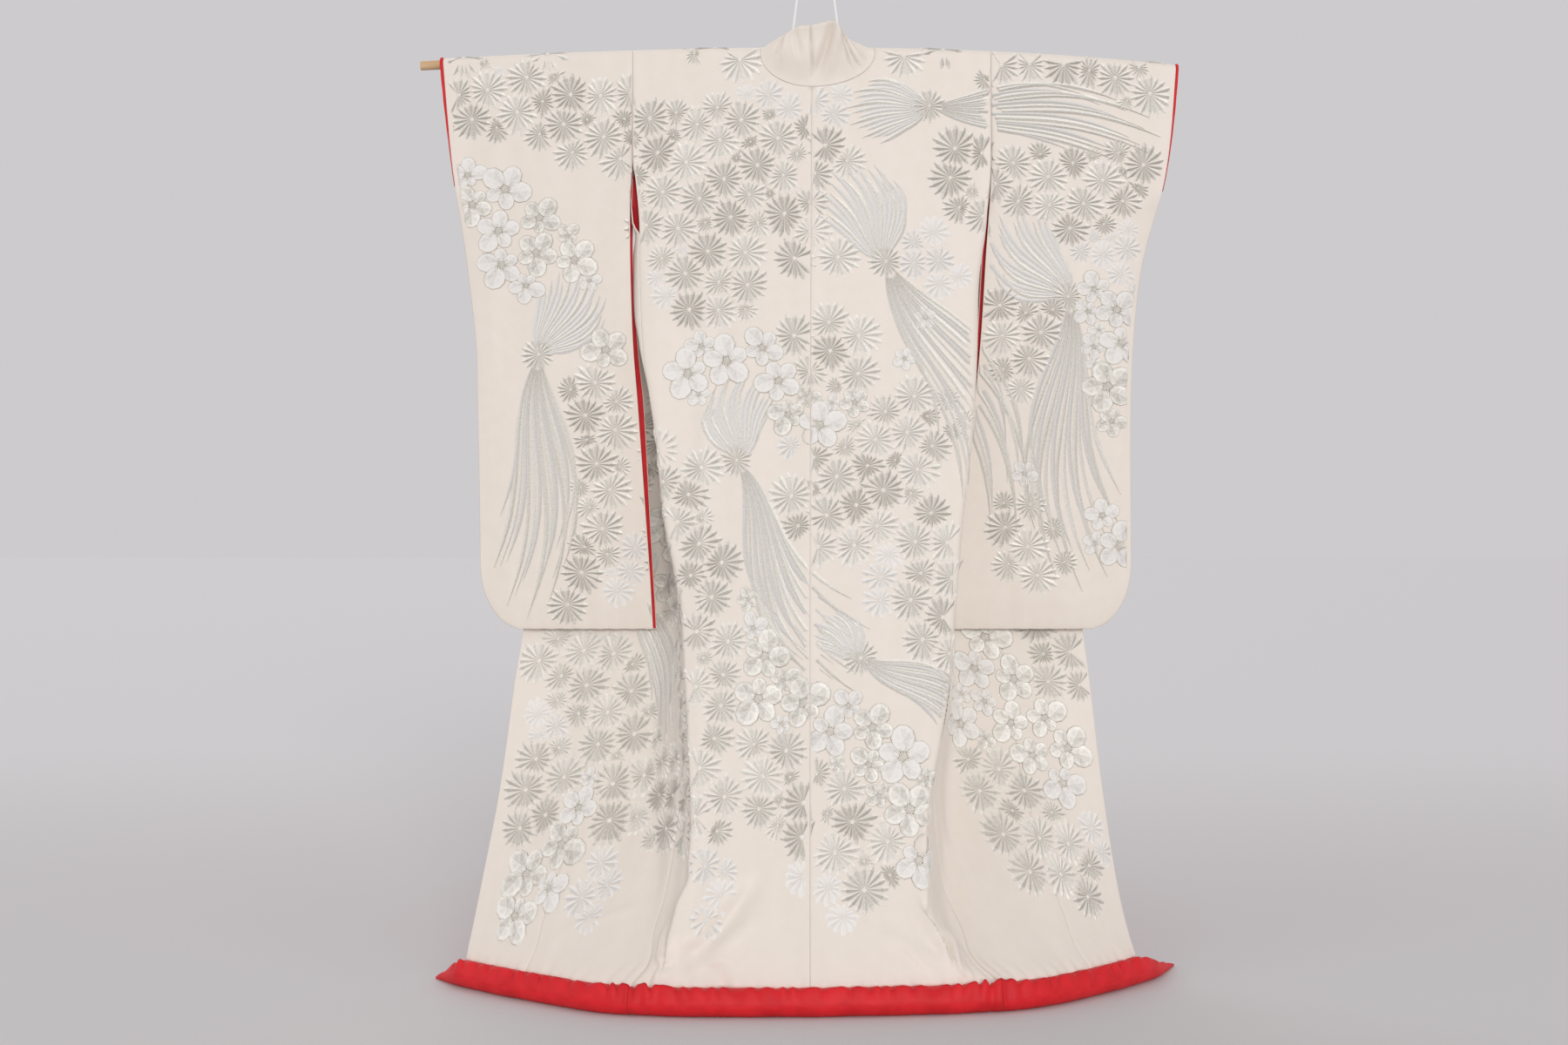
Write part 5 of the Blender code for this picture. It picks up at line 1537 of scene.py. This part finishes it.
# Radii of the flowers, and the layout of the designs. Drifts run through (u, v, half width) rows.
KIKU_SIZES = (0.022, 0.045)
PLUM_SIZES = (0.022, 0.052)
WHITE_SIZES = (0.020, 0.034)
DESIGNS = {
    "outer": {
        "cloths": ("back", "sleeve back"),
        "ribbons": (
            # knot u, knot v, heading of the tails, their length, sway, heading of the fan
            (0.135, 1.270, -70, 0.52, 0.35, 118),
            (-0.135, 0.905, -55, 0.44, -0.40, 80),
            (-0.500, 1.105, -97, 0.46, 0.25, 60),
            (0.470, 1.215, -82, 0.52, -0.30, 130),
            (0.215, 1.560, -8, 0.40, 0.22, 190),
            (0.085, 0.560, -38, 0.26, 0.40, 140),
        ),
        "kiku": (
            ((-0.64, 1.56, 0.03), (-0.50, 1.58, 0.05), (-0.36, 1.53, 0.06), (-0.24, 1.49, 0.05)),
            ((-0.20, 1.52, 0.05), (-0.06, 1.44, 0.08), (0.05, 1.37, 0.08), (0.00, 1.30, 0.05)),
            ((-0.30, 1.44, 0.04), (-0.22, 1.34, 0.06), (-0.16, 1.22, 0.06)),
            ((0.26, 1.45, 0.04), (0.36, 1.38, 0.06), (0.47, 1.42, 0.07), (0.58, 1.50, 0.05)),
            ((0.62, 1.60, 0.03), (0.48, 1.62, 0.03), (0.34, 1.62, 0.03)),
            ((0.36, 1.30, 0.04), (0.40, 1.18, 0.05), (0.38, 1.06, 0.04)),
            ((0.24, 1.02, 0.04), (0.15, 0.92, 0.06), (0.04, 0.82, 0.07), (-0.08, 0.76, 0.06)),
            ((-0.24, 0.90, 0.04), (-0.24, 0.76, 0.05), (-0.19, 0.62, 0.05), (-0.20, 0.46, 0.04),
             (-0.18, 0.30, 0.03)),
            ((0.22, 0.78, 0.04), (0.20, 0.64, 0.04), (0.21, 0.50, 0.03)),
            ((-0.40, 1.02, 0.04), (-0.40, 0.90, 0.05), (-0.42, 0.78, 0.05), (-0.46, 0.68, 0.04)),
            ((0.36, 0.82, 0.04), (0.44, 0.72, 0.05)),
            ((-0.255, 0.80, 0.02), (-0.262, 0.60, 0.025), (-0.256, 0.42, 0.03), (-0.262, 0.26, 0.02)),
            ((-0.08, 0.38, 0.04), (0.02, 0.30, 0.05), (0.10, 0.22, 0.04)),
            ((-0.02, 1.14, 0.03), (0.06, 1.08, 0.05)),
            ((-0.63, 1.67, 0.02), (-0.46, 1.68, 0.02)),
            ((-0.25, 1.68, 0.02), (-0.14, 1.66, 0.02)),
            ((0.17, 1.67, 0.02), (0.30, 1.68, 0.02)),
            ((0.42, 1.69, 0.02), (0.63, 1.67, 0.02)),
        ),
        "plum": (
            ((-0.61, 1.42, 0.03), (-0.54, 1.34, 0.05), (-0.48, 1.24, 0.06), (-0.42, 1.16, 0.05)),
            ((-0.20, 1.08, 0.04), (-0.08, 1.05, 0.06), (0.04, 1.00, 0.05)),
            ((0.20, 1.14, 0.04), (0.26, 1.04, 0.05)),
            ((0.56, 1.20, 0.04), (0.50, 1.02, 0.05), (0.40, 0.94, 0.05), (0.36, 0.88, 0.03)),
            ((0.46, 0.86, 0.04), (0.53, 0.78, 0.04)),
            ((-0.04, 0.66, 0.05), (-0.08, 0.54, 0.06), (-0.02, 0.44, 0.06), (0.08, 0.40, 0.05)),
            ((0.15, 0.40, 0.04), (0.15, 0.29, 0.04), (0.15, 0.23, 0.02)),
        ),
        "white": (
            ((-0.60, 1.63, 0.02), (-0.58, 1.58, 0.03)),
            ((-0.10, 1.56, 0.02), (0.03, 1.55, 0.03)),
            ((-0.26, 1.28, 0.03), (-0.24, 1.22, 0.03)),
            ((0.52, 1.34, 0.04), (0.58, 1.28, 0.03)),
            ((0.20, 1.30, 0.03), (0.24, 1.24, 0.03)),
            ((-0.02, 0.96, 0.03), (0.05, 0.92, 0.03)),
            ((0.16, 0.72, 0.03), (0.12, 0.66, 0.03)),
            ((-0.36, 0.66, 0.02), (-0.34, 0.74, 0.02)),
            ((0.00, 0.22, 0.02), (0.06, 0.16, 0.02)),
            ((-0.17, 0.22, 0.02), (-0.16, 0.16, 0.02)),
        ),
    },
    "left front": {
        "cloths": ("front",),
        "ribbons": ((0.190, 0.660, -65, 0.30, 0.30, 100),),
        "kiku": (
            ((0.05, 0.56, 0.03), (0.15, 0.50, 0.05), (0.22, 0.40, 0.04), (0.24, 0.28, 0.03)),
            ((0.30, 0.62, 0.04), (0.29, 0.48, 0.04), (0.28, 0.34, 0.03)),
            ((0.10, 0.36, 0.04), (0.06, 0.26, 0.03)),
            ((0.16, 1.22, 0.04), (0.12, 1.02, 0.05), (0.10, 0.86, 0.04)),
            ((0.14, 1.57, 0.03), (0.13, 1.50, 0.05), (0.17, 1.38, 0.05)),
            ((0.335, 0.52, 0.02), (0.335, 0.40, 0.03), (0.33, 0.26, 0.02)),
        ),
        "plum": (
            ((0.18, 0.34, 0.04), (0.14, 0.24, 0.04), (0.10, 0.14, 0.03)),
            ((0.24, 0.78, 0.04), (0.26, 0.70, 0.04)),
        ),
        "white": (((0.06, 0.46, 0.02), (0.08, 0.42, 0.02)), ((0.24, 0.20, 0.02), (0.23, 0.14, 0.02))),
    },
    "right front": {
        "cloths": ("front",),
        "ribbons": ((-0.210, 0.700, -110, 0.24, -0.30, 70),),
        "kiku": (
            ((-0.22, 0.34, 0.04), (-0.16, 0.24, 0.05), (-0.08, 0.17, 0.04)),
            ((-0.06, 0.60, 0.03), (-0.05, 0.50, 0.03)),
            ((-0.17, 1.20, 0.04), (-0.12, 1.00, 0.05), (-0.12, 0.84, 0.04)),
            ((-0.13, 1.57, 0.03), (-0.16, 1.49, 0.05), (-0.13, 1.37, 0.05)),
        ),
        "plum": (
            ((-0.24, 0.56, 0.05), (-0.17, 0.50, 0.05), (-0.10, 0.42, 0.04), (-0.06, 0.34, 0.02)),
            ((-0.24, 0.42, 0.03), (-0.25, 0.36, 0.03)),
        ),
        "white": (((-0.13, 0.33, 0.02), (-0.17, 0.36, 0.02)), ((-0.05, 0.24, 0.02), (-0.04, 0.20, 0.02))),
    },
    "wall side": {
        "cloths": ("sleeve front",),
        "ribbons": ((-0.470, 1.270, -75, 0.42, -0.30, 100), (0.500, 1.180, -100, 0.44, 0.30, 70)),
        "kiku": (
            ((-0.62, 1.60, 0.03), (-0.48, 1.55, 0.06), (-0.36, 1.48, 0.05)),
            ((-0.38, 1.05, 0.04), (-0.46, 0.90, 0.06), (-0.44, 0.74, 0.05)),
            ((0.60, 1.56, 0.04), (0.46, 1.48, 0.06), (0.37, 1.36, 0.05)),
            ((0.36, 0.98, 0.04), (0.42, 0.82, 0.06), (0.46, 0.70, 0.05)),
        ),
        "plum": (
            ((-0.58, 1.40, 0.04), (-0.56, 1.22, 0.05), (-0.54, 1.06, 0.04)),
            ((0.56, 1.36, 0.04), (0.42, 1.24, 0.05), (0.38, 1.12, 0.04)),
        ),
        "white": (((-0.40, 1.32, 0.03), (-0.37, 1.26, 0.03)), ((0.55, 0.86, 0.03), (0.54, 0.80, 0.03))),
    },
}
RIBBON_STITCH = 0.0085
RIBBON_TAILS = 15
RIBBON_FANS = 17
RIBBON_ROOM = 0.012
# The flower over each knot: its radius, turn and tone.
KNOT_FLOWER = (USUAL_RADIUS, 0.4, 0.6)
# Plum blossoms of a tone below this are stitched in silver.
SILVER_TONE = 0.60
FIRST_SEED = 40

threads = {}
for number, (design, layout) in enumerate(DESIGNS.items()):
    field = Field(FIRST_SEED + number)
    sides = [side for side in SIDES if "front" not in design or side in design]
    tails, fans = [], []
    for u, v, heading, length, sway, fan_heading in layout["ribbons"]:
        tails += ribbon_bundle((u, v), heading, RIBBON_TAILS, length, 0.34, sway)
        fans += ribbon_bundle((u, v), fan_heading, RIBBON_FANS, length * 0.36, 0.95, -sway, 8)
    knots = [(u, v, *KNOT_FLOWER) for u, v, *_ in layout["ribbons"]]
    for path in tails + fans:
        field.claim(np.column_stack([path[::2], np.full(len(path[::2]), RIBBON_ROOM)]))
    kiku, plum, white = (
        [field.drift(drift, sizes) for drift in layout[kind]]
        for kind, sizes in (("kiku", KIKU_SIZES), ("plum", PLUM_SIZES), ("white", WHITE_SIZES))
    )
    for at in itertools.product(layout["cloths"], sides):
        silver, pale = (threads.setdefault((*at, look), Stitches()) for look in ("silver", "white"))
        for n, path in enumerate(tails):
            width = RIBBON_STITCH * (1.0 + 0.3 * (n % 2))
            stitch_strand(silver if n % 3 else pale, at, path, width, 0.4 + 0.1 * (n % 3))
        for n, path in enumerate(fans):
            stitch_strand(pale if n % 3 else silver, at, path, RIBBON_STITCH * 1.4, 0.6)
        for flowers in kiku + [np.array(knots)]:
            stitch_kiku(silver, field, at, flowers)
        for flowers in plum:
            darker = flowers[:, 4] < SILVER_TONE
            stitch_plum(pale, silver, field, at, flowers[~darker])
            stitch_plum(silver, silver, field, at, flowers[darker])
        for flowers in white:
            stitch_kiku(pale, field, at, flowers + (0, 0, 0, 0, 0.3), petals=12, height=0.6)

stitched = {}
for (cloth, side, look), stitches in threads.items():
    if stitches.count:
        name = f"{look}_embroidery_{cloth.replace(' ', '_')}_{side}"
        thread = silver_thread if look == "silver" else white_thread
        made = stitches.piece(name, thread, look == "white")
        stitched.setdefault((cloth, side), []).append(made)

# The size of each cloth as it was cut, a loom width or a share of one, its area, and the embroidery and
# edging on it. The table is only set out and each cloth is looked up by name; nothing more is done with them.
for side in SIDES:
    edging = [bpy.data.objects[f"cuff_roll_{side}"]]
    on_body = stitched["back", side] + stitched["front", side]
    on_sleeve = stitched["sleeve back", side] + stitched["sleeve front", side]
    cuts = {
        "body_cloth": ((0.36, 3.42), 0.90, on_body),
        "overlap_cloth": ((0.17, 1.45), 0.18, []),
        "sleeve_cloth": ((0.36, 2.24), 0.67, on_sleeve + edging),
    }
    for name, (flat, area, pieces) in cuts.items():
        cloth = bpy.data.objects[f"{name}_{side}"]


# ---------------------------------------------------------------- floor and light
# A plain pale floor under soft studio light: a broad high light from the front, and a pale surround.

FLOOR_SIZE = 80
# Painted light: the floor is painted lighter from the near floor to the far floor behind the garment, so that
# it fades into the surround at the horizon.
NEAR_FLOOR = (0.625, 0.612, 0.614, 1)
FAR_FLOOR = (0.715, 0.703, 0.712, 1)
SURROUND = (0.61, 0.598, 0.61, 1)

bpy.ops.mesh.primitive_plane_add(size=FLOOR_SIZE, location=(0, 0, -LOOP_HEIGHT))
floor = bpy.context.object
floor.name = "studio_floor"
floor_look, wire, shader = new_look("pale_floor", 0.8)
shader.inputs["Specular IOR Level"].default_value = 0.1
place = wire.node("ShaderNodeTexCoord", (), output=3)
behind = wire.node("ShaderNodeSeparateXYZ", (), {0: place}, output=1)
wire.put(shader.inputs["Base Color"], behind.between(0.1, 3.5).blend(NEAR_FLOOR, FAR_FLOOR))
floor.data.materials.append(floor_look)

world = bpy.data.worlds.new("pale_studio")
bpy.context.scene.world = world
world.use_nodes = True
backdrop = world.node_tree.nodes["Background"]
backdrop.inputs["Color"].default_value = SURROUND
bpy.context.scene.view_settings.view_transform = "Standard"

# Each light: its height above the level and its turn from the front in degrees, its softness and strength.
LIGHTS = {"front": (15, 10, 22, 1.28), "side": (10, -70, 60, 0.34), "rear": (30, 200, 60, 0.6)}
for name, (rise, turn, softness, strength) in LIGHTS.items():
    bpy.ops.object.light_add(type="SUN", rotation=(math.radians(90 - rise), 0, math.radians(turn)))
    light = bpy.context.object
    light.name = f"{name}_light"
    light.data.angle = math.radians(softness)
    light.data.energy = strength
